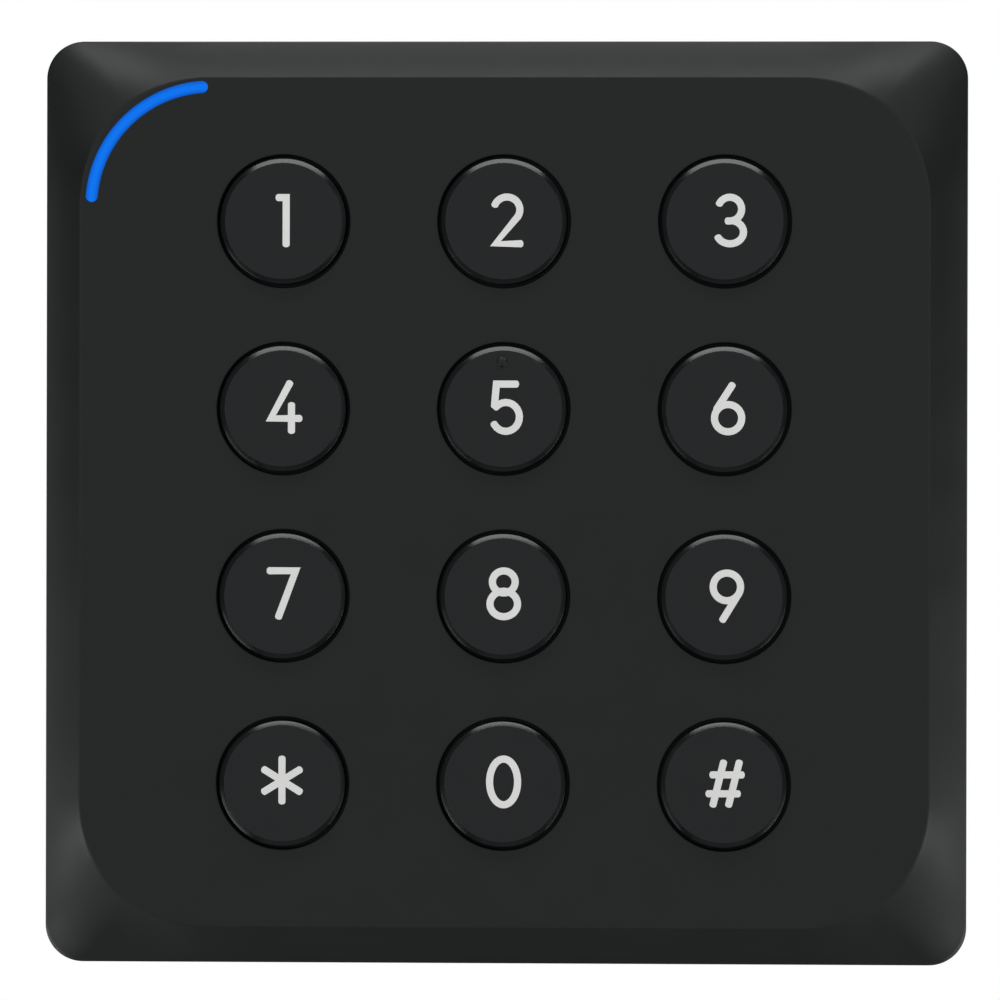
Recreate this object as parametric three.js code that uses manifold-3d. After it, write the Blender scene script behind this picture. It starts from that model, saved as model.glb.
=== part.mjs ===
// A square keypad access reader for a wall box: a moulded front cover with a raised panel, twelve round keys on a
// silicone dome mat, a curved status light in one corner of the panel, a circuit board with its parts, a gasketed
// rear cover with a tamper plunger, and a steel wall plate that the reader hooks onto and is locked to from below.
//
// Units are millimetres. The exported group has +Z up, the wall at y = 0 and the keys facing -Y. Everything is
// modelled in the face frame inside it: x to the right, y up the wall, z out of the wall towards the user.
import * as THREE from "three";
import { mergeVertices } from "three/addons/utils/BufferGeometryUtils.js";
import Module from "manifold-3d";

const wasm = await Module();
wasm.setup();

// ---- Driving dimensions ------------------------------------------------------------------------------------------

// Touching pieces stand this far apart.
const GAP = 0.3;
// A cut starts and ends this far outside the material.
const PAST = 1;
// Joined shapes reach this far into each other.
const SINK = 0.2;

// Front cover
const WIDTH = 86;
const OUTER_CORNER_R = 3.5;
const DRAFT = 1;
const WALL = 2.2;
const REAR_EDGE_Z = GAP;
const SHOULDER_Z = 14.2;
const FACE_Z = 18;
const PANEL_WIDTH = 79;
const PANEL_CORNER_R = 12;
const PANEL_EDGE = 0.2;
// Where the hollow starts to narrow towards the panel, below the shoulder
const HOLLOW_SHOULDER_DROP = 1.2;
const LOCK_PAD_HALF_WIDTH = 6;
const LOCK_PAD_THICKNESS = 1.5;

// Keys
const KEY_PITCH_X = 20.5;
const KEY_PITCH_Y = 17.4;
const KEY_R = 5.82;
const KEY_HOLE_R = 6.15;
const KEY_PROUD = 0.7;
const KEY_EDGE = 0.4;
const KEY_TRAVEL = 1;
const KEY_FLANGE_R = 6.9;
const KEY_FLANGE = 1;
const KEY_STEM_R = 3.2;
const KEY_SKIRT_R = 4.9;
const NUB_R = 0.42;
const NUB_Y = 4.3;
const KEY_NAMES = ["1", "2", "3", "4", "5", "6", "7", "8", "9", "star", "0", "hash"];
const KEY_COLUMNS = 3;
const KEY_ROWS = 4;

// Board and dome mat
const BOARD_WIDTH = 76.4;
const BOARD_REAR_Z = 9;
const BOARD_THICKNESS = 1.6;
const MAT_WIDTH = 55.2;
const MAT_HEIGHT = 67;
const MAT_THICKNESS = 1;
const DOME_HEIGHT = 2;
const DOME_FOOT_R = 5.2;
const DOME_TOP_R = 3.4;
const DOME_WALL = 0.9;
const PILL_R = 1.9;
const PILL_THICKNESS = 0.6;
const POST_X = 30.6;
const POST_R = 2.2;
const BOARD_SCREW_R = 1;
const BACKLIGHT_HOLE_R = 1.6;

// Status light
const LIGHT_R = 11.1;
const LIGHT_WIDTH = 1.12;
const LIGHT_SLOT = 0.1;
const LIGHT_FROM = THREE.MathUtils.degToRad(95.4);
const LIGHT_TO = THREE.MathUtils.degToRad(175.1);
const LIGHT_WEB_R = 11.9;
const LIGHT_STUB_R = 4.6;
const LIGHT_STUB_WIDTH = 2;
const LIGHT_WEB = 1.2;

// Rear cover, gasket and screws
const REAR_FLOOR_Z = 1.8;
const REAR_FLOOR = 2;
const RIM_TOP_Z = 8;
const RIM = 1.8;
const GASKET_THICKNESS = 1.3;
const GASKET_WIDTH = 1.4;
const LEDGE = 1.5;
const LEDGE_WIDTH = 2;
const LEDGE_CORNER_R = 3;
const BOSS_XY = 37.3;
const BOSS_R = 3.8;
const BOSS_TOP_Z = 14.6;
const COVER_SCREW_R = 1.2;
const COVER_SCREW_HEAD_R = 2.1;
const COVER_SCREW_SEAT_Z = 2.5;
const COVER_SCREW_LENGTH = 11.1;

// Wall plate and lock
const PLATE_WIDTH = 70;
const PLATE_THICKNESS = 1.2;
const PLATE_CORNER_R = 6.7;
const WALL_SCREW_SPACING = 60.3;
const SCREW_SLOT_WIDTH = 4.6;
const SCREW_SLOT_LENGTH = 8.4;
const CABLE_WINDOW = { width: 30, low: -24, high: -7 };
const HOOK_X = 20;
const HOOK_WIDTH = 8;
const HOOK_Y = 30;
const HOOK_REACH_Z = 5.2;
const HOOK_RISE = 3.8;
const LOCK_Z = 4;
const LOCK_SCREW_R = 1.4;
const LOCK_HEAD_R = 2.7;
const LOCK_CLEARANCE = 0.4;
const LOCK_RECESS = 1.5;
const FLANGE_WIDTH = 12;
const FLANGE_Y = -38.4;
const FLANGE_REACH_Z = 6.6;
const WELL_HALF_WIDTH = 8;
const WELL_WALL = 1;
const WELL_TOP_Y = -33.9;

// Tamper switch
const TAMPER = { x: 24, y: -18 };
const PLUNGER_R = 1.2;

// How many sides stand for a full turn
const ROUND = 20;
const SMALL_ROUND = 12;
const CORNER_STEPS = 6;

// ---- Places worked out from them ---------------------------------------------------------------------------------

const HALF = WIDTH / 2;
const PANEL_HALF = PANEL_WIDTH / 2;
const PANEL_BACK_Z = FACE_Z - WALL;
const INNER_HALF = HALF - WALL;
const CORNER_CENTRE = PANEL_HALF - PANEL_CORNER_R;
const BOARD_FRONT_Z = BOARD_REAR_Z + BOARD_THICKNESS;
const BOARD_TOP_SIDE_Z = BOARD_FRONT_Z + GAP;
const BOARD_REAR_SIDE_Z = BOARD_REAR_Z - GAP;
const MAT_FRONT_Z = BOARD_TOP_SIDE_Z + MAT_THICKNESS;
const DOME_TOP_Z = MAT_FRONT_Z + DOME_HEIGHT;
const KEY_FLANGE_TOP_Z = PANEL_BACK_Z - GAP;
const KEY_FLANGE_LOW_Z = KEY_FLANGE_TOP_Z - KEY_FLANGE;
const LIGHT_WEB_LOW_Z = KEY_FLANGE_TOP_Z - LIGHT_WEB;
const PILL_Z = BOARD_FRONT_Z + KEY_TRAVEL + 0.05;
const REAR_FLOOR_TOP_Z = REAR_FLOOR_Z + REAR_FLOOR;
const GASKET_Z = RIM_TOP_Z + GAP;
const LEDGE_Z = GASKET_Z + GASKET_THICKNESS + GAP;
const PLATE_HALF = PLATE_WIDTH / 2;

// ---- Materials ---------------------------------------------------------------------------------------------------

const finish = (color, roughness, metalness = 0) =>
  new THREE.MeshStandardMaterial({ color, roughness, metalness });

const MATERIALS = {
  housing: finish(0x1f2122, 0.55),
  keys: finish(0x222426, 0.48),
  light: finish(0x0a78f0, 0.3),
  silicone: finish(0xb9bdbd, 0.6),
  carbon: finish(0x141414, 0.7),
  board: finish(0x14452c, 0.4),
  copper: finish(0xb5713c, 0.35, 1),
  chip: finish(0x17181a, 0.5),
  can: finish(0xb8babd, 0.3, 1),
  led: finish(0xe8ead8, 0.3),
  socket: finish(0xd9d6c8, 0.5),
  rubber: finish(0x18191a, 0.8),
  zinc: finish(0xa4a8ab, 0.4, 1),
  blackSteel: finish(0x2a2b2d, 0.35, 1),
};

// ---- Shape tools -------------------------------------------------------------------------------------------------

// The corners of a rounded rectangle, anticlockwise.
function roundedOutline(halfWide, halfHigh, radius, steps = CORNER_STEPS) {
  const points = [];
  for (let corner = 0; corner < 4; corner++) {
    const cx = (corner === 0 || corner === 3 ? 1 : -1) * (halfWide - radius);
    const cy = (corner < 2 ? 1 : -1) * (halfHigh - radius);
    for (let step = 0; step <= steps; step++) {
      const angle = ((corner + step / steps) * Math.PI) / 2;
      points.push(new THREE.Vector2(cx + radius * Math.cos(angle), cy + radius * Math.sin(angle)));
    }
  }
  return points;
}

// A solid skinned over outlines of the same number of points, each at its own height.
function loft(rings) {
  const count = rings[0].outline.length;
  const positions = rings.flatMap(({ z, outline }) => outline.flatMap((p) => [p.x, p.y, z]));
  const faces = [];
  for (let ring = 0; ring + 1 < rings.length; ring++) {
    for (let i = 0; i < count; i++) {
      const a = ring * count + i;
      const b = ring * count + ((i + 1) % count);
      faces.push(a, b, b + count, a, b + count, a + count);
    }
  }
  const top = (rings.length - 1) * count;
  for (let i = 1; i + 1 < count; i++) {
    faces.push(0, i + 1, i);
    faces.push(top, top + i, top + i + 1);
  }
  const geometry = new THREE.BufferGeometry();
  geometry.setAttribute("position", new THREE.Float32BufferAttribute(positions, 3));
  geometry.setIndex(faces);
  return geometry;
}

const roundedBlock = (halfWide, halfHigh, radius, low, high) =>
  loft([low, high].map((z) => ({ z, outline: roundedOutline(halfWide, halfHigh, radius) })));

function block(x0, x1, y0, y1, z0, z1) {
  const geometry = new THREE.BoxGeometry(x1 - x0, y1 - y0, z1 - z0);
  return geometry.translate((x0 + x1) / 2, (y0 + y1) / 2, (z0 + z1) / 2);
}

// A round bar along z.
function bar(radius, low, high, x = 0, y = 0, sides = SMALL_ROUND) {
  const geometry = new THREE.CylinderGeometry(radius, radius, high - low, sides);
  return geometry.rotateX(Math.PI / 2).translate(x, y, (low + high) / 2);
}

// A round bar along y.
function uprightBar(radius, low, high, x, z, sides = SMALL_ROUND) {
  const geometry = new THREE.CylinderGeometry(radius, radius, high - low, sides);
  return geometry.translate(x, (low + high) / 2, z);
}

// A body turned about z from pairs of radius and height.
function turned(profile, sides = ROUND) {
  const points = profile.map(([r, z]) => new THREE.Vector2(r, z));
  return new THREE.LatheGeometry(points, sides).rotateX(Math.PI / 2);
}

// A curved bar of the given width along an arc, with round ends where they are asked for.
function arcBar(radius, width, from, to, low, high, roundEnds = true) {
  const shape = new THREE.Shape();
  const end = (angle) => [radius * Math.cos(angle), radius * Math.sin(angle)];
  shape.absarc(0, 0, radius + width / 2, from, to, false);
  if (roundEnds) shape.absarc(...end(to), width / 2, to, to + Math.PI, false);
  shape.absarc(0, 0, radius - width / 2, to, from, true);
  if (roundEnds) shape.absarc(...end(from), width / 2, from + Math.PI, from + 2 * Math.PI, false);
  const settings = { depth: high - low, bevelEnabled: false, curveSegments: CORNER_STEPS + 2 };
  return new THREE.ExtrudeGeometry(shape, settings).translate(0, 0, low);
}

// A slot with round ends, centred on the origin and running along x, or along y.
function slot(width, length, low, high, upright) {
  const [wide, tall] = upright ? [width, length] : [length, width];
  return loft([low, high].map((z) => ({
    z,
    outline: roundedOutline(wide / 2, tall / 2, width / 2 - 0.01, SMALL_ROUND / 4),
  })));
}

function solid(geometry) {
  const bare = geometry.clone();
  bare.deleteAttribute("normal");
  bare.deleteAttribute("uv");
  const merged = mergeVertices(bare, 1e-4);
  const vertProperties = merged.attributes.position.array;
  const triVerts = new Uint32Array(merged.index.array);
  return new wasm.Manifold(new wasm.Mesh({ numProp: 3, vertProperties, triVerts }));
}

const joined = (...geometries) => geometries.map(solid).reduce((sum, next) => sum.add(next));

const cut = (body, ...tools) => tools.reduce((rest, tool) => rest.subtract(solid(tool)), body);

function geometryOf(body) {
  const mesh = body.getMesh();
  const geometry = new THREE.BufferGeometry();
  geometry.setAttribute("position", new THREE.BufferAttribute(mesh.vertProperties, 3));
  geometry.setIndex(new THREE.BufferAttribute(mesh.triVerts, 1));
  geometry.computeVertexNormals();
  return geometry;
}

// ---- Assembly ----------------------------------------------------------------------------------------------------

const reader = new THREE.Group();
const face = new THREE.Group();
face.rotation.x = Math.PI / 2;
reader.add(face);

function place(name, geometry, material, x = 0, y = 0, z = 0) {
  const mesh = new THREE.Mesh(geometry, material);
  mesh.name = name;
  mesh.position.set(x, y, z);
  face.add(mesh);
  return mesh;
}

const fourCorners = [
  [-1, 1],
  [1, 1],
  [1, -1],
  [-1, -1],
];

const keyPlaces = KEY_NAMES.map((name, index) => ({
  name,
  x: ((index % KEY_COLUMNS) - (KEY_COLUMNS - 1) / 2) * KEY_PITCH_X,
  y: ((KEY_ROWS - 1) / 2 - Math.floor(index / KEY_COLUMNS)) * KEY_PITCH_Y,
}));

// A square ring with rounded corners.
function ring(outerHalf, innerHalf, radius, low, high) {
  const innerRadius = radius - (outerHalf - innerHalf);
  return cut(
    solid(roundedBlock(outerHalf, outerHalf, radius, low, high)),
    roundedBlock(innerHalf, innerHalf, Math.max(innerRadius, 0.5), low - PAST, high + PAST),
  );
}

// ---- Front cover -------------------------------------------------------------------------------------------------

function frontCover() {
  const square = (half, radius, z) => ({ z, outline: roundedOutline(half, half, radius) });
  const skin = loft([
    square(HALF - DRAFT, OUTER_CORNER_R, REAR_EDGE_Z),
    square(HALF, OUTER_CORNER_R, SHOULDER_Z),
    square(PANEL_HALF + PANEL_EDGE, PANEL_CORNER_R - PANEL_EDGE, FACE_Z - PANEL_EDGE),
    square(PANEL_HALF - PANEL_EDGE, PANEL_CORNER_R - PANEL_EDGE, FACE_Z),
  ]);
  const hollow = loft([
    square(INNER_HALF, OUTER_CORNER_R - WALL, REAR_EDGE_Z - PAST),
    square(INNER_HALF, OUTER_CORNER_R - WALL, SHOULDER_Z - HOLLOW_SHOULDER_DROP),
    square(PANEL_HALF - WALL + GAP, PANEL_CORNER_R - WALL + GAP, PANEL_BACK_Z),
  ]);
  let body = cut(solid(skin), hollow);

  // Screw bosses in the corners, posts for the board, the gasket's ledge and the pad round the lock screw
  for (const [sx, sy] of fourCorners)
    body = body.add(solid(bar(BOSS_R, LEDGE_Z, BOSS_TOP_Z, sx * BOSS_XY, sy * BOSS_XY)));
  for (const side of [-1, 1])
    body = body.add(solid(bar(POST_R, BOARD_TOP_SIDE_Z, PANEL_BACK_Z + PAST, side * POST_X, 0)));
  body = body.add(ring(INNER_HALF + GAP, INNER_HALF - LEDGE_WIDTH, LEDGE_CORNER_R, LEDGE_Z, LEDGE_Z + LEDGE));
  const padTop = -INNER_HALF + LOCK_PAD_THICKNESS;
  const pad = LOCK_PAD_HALF_WIDTH;
  body = body.add(solid(block(-pad, pad, -INNER_HALF - GAP, padTop, 2 * GAP, FLANGE_REACH_Z)));

  // The light's slot and the pocket for its web
  body = cut(
    body,
    arcBar(LIGHT_R, LIGHT_WIDTH + 2 * LIGHT_SLOT, LIGHT_FROM, LIGHT_TO, PANEL_BACK_Z - PAST, FACE_Z + PAST)
      .translate(-CORNER_CENTRE, CORNER_CENTRE, 0),
    bar(LIGHT_WEB_R + GAP, LIGHT_WEB_LOW_Z - GAP, PANEL_BACK_Z, -CORNER_CENTRE, CORNER_CENTRE, ROUND),
  );

  // Key holes, screw holes and the lock screw's hole
  for (const { x, y } of keyPlaces)
    body = cut(body, bar(KEY_HOLE_R, PANEL_BACK_Z - PAST, FACE_Z + PAST, x, y, ROUND));
  for (const [sx, sy] of fourCorners)
    body = cut(body, bar(COVER_SCREW_R + GAP, LEDGE_Z - PAST, BOSS_TOP_Z - 0.6, sx * BOSS_XY, sy * BOSS_XY));
  for (const side of [-1, 1])
    body = cut(body, bar(BOARD_SCREW_R + GAP, BOARD_FRONT_Z, PANEL_BACK_Z - 1, side * POST_X, 0));
  return cut(
    body,
    uprightBar(LOCK_SCREW_R + LOCK_CLEARANCE, -HALF - PAST, padTop + PAST, 0, LOCK_Z),
    uprightBar(LOCK_HEAD_R + LOCK_CLEARANCE, -HALF - PAST, -HALF + DRAFT + LOCK_RECESS, 0, LOCK_Z),
  );
}

place("front_cover", geometryOf(frontCover()), MATERIALS.housing);

// ---- Status light ------------------------------------------------------------------------------------------------

// A clear guide: the arc that shows, a fan-shaped web behind the panel, and a curved stub over the light sources.
function lightPipe() {
  const stub = LIGHT_STUB_R - LIGHT_STUB_WIDTH / 2;
  return joined(
    arcBar(LIGHT_R, LIGHT_WIDTH, LIGHT_FROM, LIGHT_TO, KEY_FLANGE_TOP_Z - SINK, FACE_Z),
    arcBar((LIGHT_WEB_R + stub) / 2, LIGHT_WEB_R - stub, LIGHT_FROM, LIGHT_TO, LIGHT_WEB_LOW_Z, KEY_FLANGE_TOP_Z, false),
    arcBar(LIGHT_STUB_R, LIGHT_STUB_WIDTH, LIGHT_FROM, LIGHT_TO, MAT_FRONT_Z + GAP, LIGHT_WEB_LOW_Z + SINK, false),
  );
}

place("light_pipe", geometryOf(lightPipe()), MATERIALS.light, -CORNER_CENTRE, CORNER_CENTRE);

// ---- Keys --------------------------------------------------------------------------------------------------------

// A cap with a flange that stops it behind the panel, and a stem that stands on the mat's dome.
const keyTop = FACE_Z + KEY_PROUD;
const keyCap = turned([
  [0, DOME_TOP_Z + GAP],
  [KEY_STEM_R, DOME_TOP_Z + GAP],
  [KEY_STEM_R, keyTop - 1.5],
  [KEY_SKIRT_R, keyTop - 1.5],
  [KEY_SKIRT_R, KEY_FLANGE_LOW_Z],
  [KEY_FLANGE_R, KEY_FLANGE_LOW_Z],
  [KEY_FLANGE_R, KEY_FLANGE_TOP_Z],
  [KEY_R, KEY_FLANGE_TOP_Z],
  [KEY_R, keyTop - KEY_EDGE],
  [KEY_R - KEY_EDGE, keyTop],
  [0, keyTop],
]);

// The middle key has a small raised dot that a finger can find.
const nub = turned([
  [0, -0.5],
  [NUB_R, -0.5],
  [NUB_R, 0],
  [NUB_R * 0.6, NUB_R * 0.5],
  [0, NUB_R * 0.6],
], 8).translate(0, NUB_Y, keyTop);
const middleCap = geometryOf(joined(keyCap, nub));

const pill = bar(PILL_R, 0, PILL_THICKNESS);
for (const { name, x, y } of keyPlaces) {
  place(`key_cap_${name}`, name === "5" ? middleCap : keyCap, MATERIALS.keys, x, y);
  place(`contact_pill_${name}`, pill, MATERIALS.carbon, x, y, PILL_Z);
}

// ---- Dome mat ----------------------------------------------------------------------------------------------------

// Sources between the keys light the legends, and stand in holes through the mat.
const backlightPlaces = [1, 0, -1].flatMap((row) =>
  [-1, 1].map((side) => ({ x: (side * KEY_PITCH_X) / 2, y: row * KEY_PITCH_Y })),
);

function keypadMat() {
  const dome = turned([
    [0, MAT_FRONT_Z - SINK],
    [DOME_FOOT_R, MAT_FRONT_Z - SINK],
    [DOME_FOOT_R, MAT_FRONT_Z],
    [DOME_TOP_R, DOME_TOP_Z - 0.5],
    [DOME_TOP_R, DOME_TOP_Z],
    [0, DOME_TOP_Z],
  ], SMALL_ROUND);
  const ceiling = PILL_Z + PILL_THICKNESS + GAP;
  const chamber = turned([
    [0, BOARD_FRONT_Z],
    [DOME_FOOT_R - DOME_WALL, BOARD_FRONT_Z],
    [DOME_FOOT_R - DOME_WALL, MAT_FRONT_Z - SINK],
    [DOME_TOP_R - DOME_WALL, ceiling],
    [0, ceiling],
  ], SMALL_ROUND);
  let body = solid(roundedBlock(MAT_WIDTH / 2, MAT_HEIGHT / 2, 2, BOARD_TOP_SIDE_Z, MAT_FRONT_Z));
  for (const { x, y } of keyPlaces) body = body.add(solid(dome.clone().translate(x, y, 0)));
  for (const { x, y } of keyPlaces) body = cut(body, chamber.clone().translate(x, y, 0));
  for (const { x, y } of backlightPlaces)
    body = cut(body, bar(BACKLIGHT_HOLE_R, BOARD_FRONT_Z, MAT_FRONT_Z + PAST, x, y, 8));
  return body;
}

place("keypad_mat", geometryOf(keypadMat()), MATERIALS.silicone);

// ---- Circuit board and what it carries ---------------------------------------------------------------------------

function mainBoard() {
  const half = BOARD_WIDTH / 2;
  let body = solid(roundedBlock(half, half, 2, BOARD_REAR_Z, BOARD_FRONT_Z));
  for (const [sx, sy] of fourCorners)
    body = cut(body, bar(BOSS_R + 0.5, BOARD_REAR_Z - PAST, BOARD_FRONT_Z + PAST, sx * BOSS_XY, sy * BOSS_XY));
  for (const side of [-1, 1])
    body = cut(body, bar(BOARD_SCREW_R + 0.4, BOARD_REAR_Z - PAST, BOARD_FRONT_Z + PAST, side * POST_X, 0));
  return body;
}

place("main_board", geometryOf(mainBoard()), MATERIALS.board);

// The card antenna is a flat winding laid round the edge of the board.
function antennaCoil() {
  const [outer, inner, thickness, outerCorner, innerCorner] = [37, 34.6, 1.5, 9.4, 7];
  const top = BOARD_TOP_SIDE_Z + thickness;
  return cut(
    solid(roundedBlock(outer, outer, outerCorner, BOARD_TOP_SIDE_Z, top)),
    roundedBlock(inner, inner, innerCorner, BOARD_TOP_SIDE_Z - PAST, top + PAST),
  );
}

place("antenna_coil", geometryOf(antennaCoil()), MATERIALS.copper);

// A part on the board's rear face: its size across, up and towards the wall.
const onRear = (wide, high, deep) =>
  block(-wide / 2, wide / 2, -high / 2, high / 2, BOARD_REAR_SIDE_Z - deep, BOARD_REAR_SIDE_Z);
// A part on the board's front face.
const onFront = (wide, high, deep) =>
  block(-wide / 2, wide / 2, -high / 2, high / 2, BOARD_TOP_SIDE_Z, BOARD_TOP_SIDE_Z + deep);

place("controller_chip", onRear(10, 10, 1.4), MATERIALS.chip, 0, 6);
place("reader_chip", onRear(6, 6, 1), MATERIALS.chip, -16, 8);
place("reader_crystal", onRear(11.4, 4.7, 3.5), MATERIALS.can, -14, 18);
place("voltage_regulator", onRear(6.6, 6.2, 2.3), MATERIALS.chip, 20, 4);

const canRadius = 3.15;
const canHeight = 4.4;
place(
  "filter_capacitor",
  bar(canRadius, BOARD_REAR_SIDE_Z - canHeight, BOARD_REAR_SIDE_Z, 0, 0, SMALL_ROUND),
  MATERIALS.can,
  20,
  16,
);

function buzzer() {
  const [radius, height, soundHole] = [4.8, 4.2, 0.9];
  const rear = BOARD_REAR_SIDE_Z - height;
  return cut(solid(bar(radius, rear, BOARD_REAR_SIDE_Z, 0, 0, ROUND)), bar(soundHole, rear - PAST, rear + 2));
}

place("buzzer", geometryOf(buzzer()), MATERIALS.chip, -24, -18);

// A shrouded header that the wiring harness plugs into from behind, with its row of pins.
function wiringHeader() {
  const pins = 10;
  const pitch = 2;
  const [halfWide, halfHigh, wall, floor] = [11.6, 3.5, 0.9, 1.2];
  const rear = REAR_FLOOR_Z + 1.6;
  const floorZ = BOARD_REAR_SIDE_Z - floor;
  let body = solid(block(-halfWide, halfWide, -halfHigh, halfHigh, rear, BOARD_REAR_SIDE_Z));
  body = cut(body, block(-halfWide + wall, halfWide - wall, -halfHigh + wall, halfHigh - wall, rear - PAST, floorZ));
  body = cut(body, block(-4, 4, halfHigh - wall - PAST, halfHigh + PAST, rear - PAST, floorZ - 1));
  for (let pin = 0; pin < pins; pin++) {
    const x = (pin - (pins - 1) / 2) * pitch;
    body = body.add(solid(block(x - 0.3, x + 0.3, -0.3, 0.3, rear + 0.8, floorZ + 0.2)));
  }
  return body;
}

place("wiring_header", geometryOf(wiringHeader()), MATERIALS.socket, 0, -15.5);

// Three sources under the light guide's stub, and six that light the legends
for (let index = 0; index < 3; index++) {
  const angle = LIGHT_FROM + ((index + 0.5) / 3) * (LIGHT_TO - LIGHT_FROM);
  const source = place(`status_led_${index + 1}`, onFront(1.6, 1.2, 0.8), MATERIALS.led);
  source.position.set(
    -CORNER_CENTRE + LIGHT_STUB_R * Math.cos(angle),
    CORNER_CENTRE + LIGHT_STUB_R * Math.sin(angle),
    0,
  );
  source.rotation.z = angle;
}
backlightPlaces.forEach(({ x, y }, index) => {
  place(`backlight_led_${index + 1}`, onFront(1.6, 0.8, 0.7), MATERIALS.led, x, y);
});

// ---- Tamper switch -----------------------------------------------------------------------------------------------

function tamperSwitch() {
  const rear = BOARD_REAR_SIDE_Z - 4;
  return cut(
    solid(block(-3, 3, -3, 3, rear, BOARD_REAR_SIDE_Z)),
    bar(PLUNGER_R + 0.2, rear - PAST, BOARD_REAR_SIDE_Z - 0.6),
  );
}

place("tamper_switch", geometryOf(tamperSwitch()), MATERIALS.chip, TAMPER.x, TAMPER.y);
// The plunger reaches through the rear cover and the wall plate, and stands on the wall.
place(
  "tamper_plunger",
  turned([
    [0, 0.05],
    [PLUNGER_R - 0.4, 0.05],
    [PLUNGER_R, 0.45],
    [PLUNGER_R, BOARD_REAR_SIDE_Z - 1.8],
    [0, BOARD_REAR_SIDE_Z - 1.8],
  ], SMALL_ROUND),
  MATERIALS.socket,
  TAMPER.x,
  TAMPER.y,
);

// ---- Rear cover and gasket ---------------------------------------------------------------------------------------

function rearCover() {
  const half = INNER_HALF - GAP;
  const pocket = PLATE_HALF + GAP;
  const corner = OUTER_CORNER_R - WALL;
  let body = solid(roundedBlock(half, half, corner, REAR_EDGE_Z, REAR_FLOOR_TOP_Z));
  body = cut(body, roundedBlock(pocket, pocket, PLATE_CORNER_R + GAP, REAR_EDGE_Z - PAST, REAR_FLOOR_Z));
  // A rim that carries the gasket, and pillars for the screws in its corners
  body = body.add(ring(half, half - RIM, corner, REAR_FLOOR_TOP_Z - PAST, RIM_TOP_Z));
  for (const [sx, sy] of fourCorners)
    body = body.add(solid(bar(BOSS_R - 0.8, REAR_FLOOR_TOP_Z - PAST, RIM_TOP_Z, sx * BOSS_XY, sy * BOSS_XY)));
  // The well that takes the wall plate's flange and the lock screw, open behind and below
  body = body.add(solid(block(-WELL_HALF_WIDTH, WELL_HALF_WIDTH, -half, WELL_TOP_Y, REAR_FLOOR_Z, RIM_TOP_Z)));
  const inner = WELL_HALF_WIDTH - WELL_WALL;
  body = cut(
    body,
    block(-inner, inner, -HALF, WELL_TOP_Y - WELL_WALL, -PAST, RIM_TOP_Z - WELL_WALL),
    block(-14, 14, CABLE_WINDOW.low + 1, CABLE_WINDOW.high - 1, -PAST, REAR_FLOOR_TOP_Z + PAST),
    bar(PLUNGER_R + 0.5, -PAST, REAR_FLOOR_TOP_Z + PAST, TAMPER.x, TAMPER.y),
  );
  for (const side of [-1, 1]) {
    const x = side * HOOK_X;
    const reach = HOOK_WIDTH / 2 + 2 * GAP;
    const top = HOOK_Y + PLATE_THICKNESS + GAP;
    body = cut(body, block(x - reach, x + reach, top - HOOK_RISE - 3 * GAP, top, -PAST, REAR_FLOOR_TOP_Z + PAST));
  }
  for (const [sx, sy] of fourCorners) {
    const [x, y] = [sx * BOSS_XY, sy * BOSS_XY];
    body = cut(
      body,
      bar(COVER_SCREW_R + GAP, -PAST, RIM_TOP_Z + PAST, x, y),
      bar(COVER_SCREW_HEAD_R + GAP, -PAST, COVER_SCREW_SEAT_Z, x, y),
    );
  }
  return body;
}

place("rear_cover", geometryOf(rearCover()), MATERIALS.housing);

const gasketHalf = INNER_HALF - 0.4;
place(
  "cover_gasket",
  geometryOf(ring(gasketHalf, gasketHalf - GASKET_WIDTH, 1.5, GASKET_Z, GASKET_Z + GASKET_THICKNESS)),
  MATERIALS.rubber,
);

// ---- Fasteners ---------------------------------------------------------------------------------------------------

// A round-headed screw along z, pointing away from the wall, with a cross recess in its head.
function crossScrew(shankR, shankLength, headR, headHeight) {
  const body = solid(turned([
    [0, -headHeight],
    [headR * 0.8, -headHeight],
    [headR, -headHeight * 0.6],
    [headR, 0],
    [shankR, 0],
    [shankR, shankLength - shankR],
    [0, shankLength],
  ], SMALL_ROUND));
  const [arm, half] = [headR * 0.6, 0.3];
  const depth = [-headHeight - PAST, -headHeight * 0.45];
  return geometryOf(cut(body, block(-arm, arm, -half, half, ...depth), block(-half, half, -arm, arm, ...depth)));
}

const coverScrew = crossScrew(COVER_SCREW_R, COVER_SCREW_LENGTH, COVER_SCREW_HEAD_R, 1.3);
fourCorners.forEach(([sx, sy], index) => {
  const seat = COVER_SCREW_SEAT_Z - GAP;
  place(`cover_screw_${index + 1}`, coverScrew, MATERIALS.zinc, sx * BOSS_XY, sy * BOSS_XY, seat);
});

const boardScrew = crossScrew(BOARD_SCREW_R, 5.6, 2, 1.2);
[-1, 1].forEach((side, index) => {
  place(`board_screw_${index + 1}`, boardScrew, MATERIALS.zinc, side * POST_X, 0, BOARD_REAR_SIDE_Z);
});

// The lock screw stands upright in the bottom edge. Its six-sided recess has a pin, so that only a matching key turns it.
function lockScrew() {
  const [headLow, headTop] = [-HALF + DRAFT + 0.2, -HALF + DRAFT + 1.3];
  const recess = cut(
    solid(uprightBar(1.5, headLow - PAST, headLow + 0.9, 0, 0, 6)),
    uprightBar(0.5, headLow - 2 * PAST, headLow + 2, 0, 0, 8),
  );
  const body = joined(
    uprightBar(LOCK_HEAD_R, headLow, headTop, 0, 0),
    uprightBar(LOCK_SCREW_R, headTop - 0.2, FLANGE_Y + 2.9, 0, 0),
  );
  return body.subtract(recess);
}

place("lock_screw", geometryOf(lockScrew()), MATERIALS.blackSteel, 0, 0, LOCK_Z);

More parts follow.
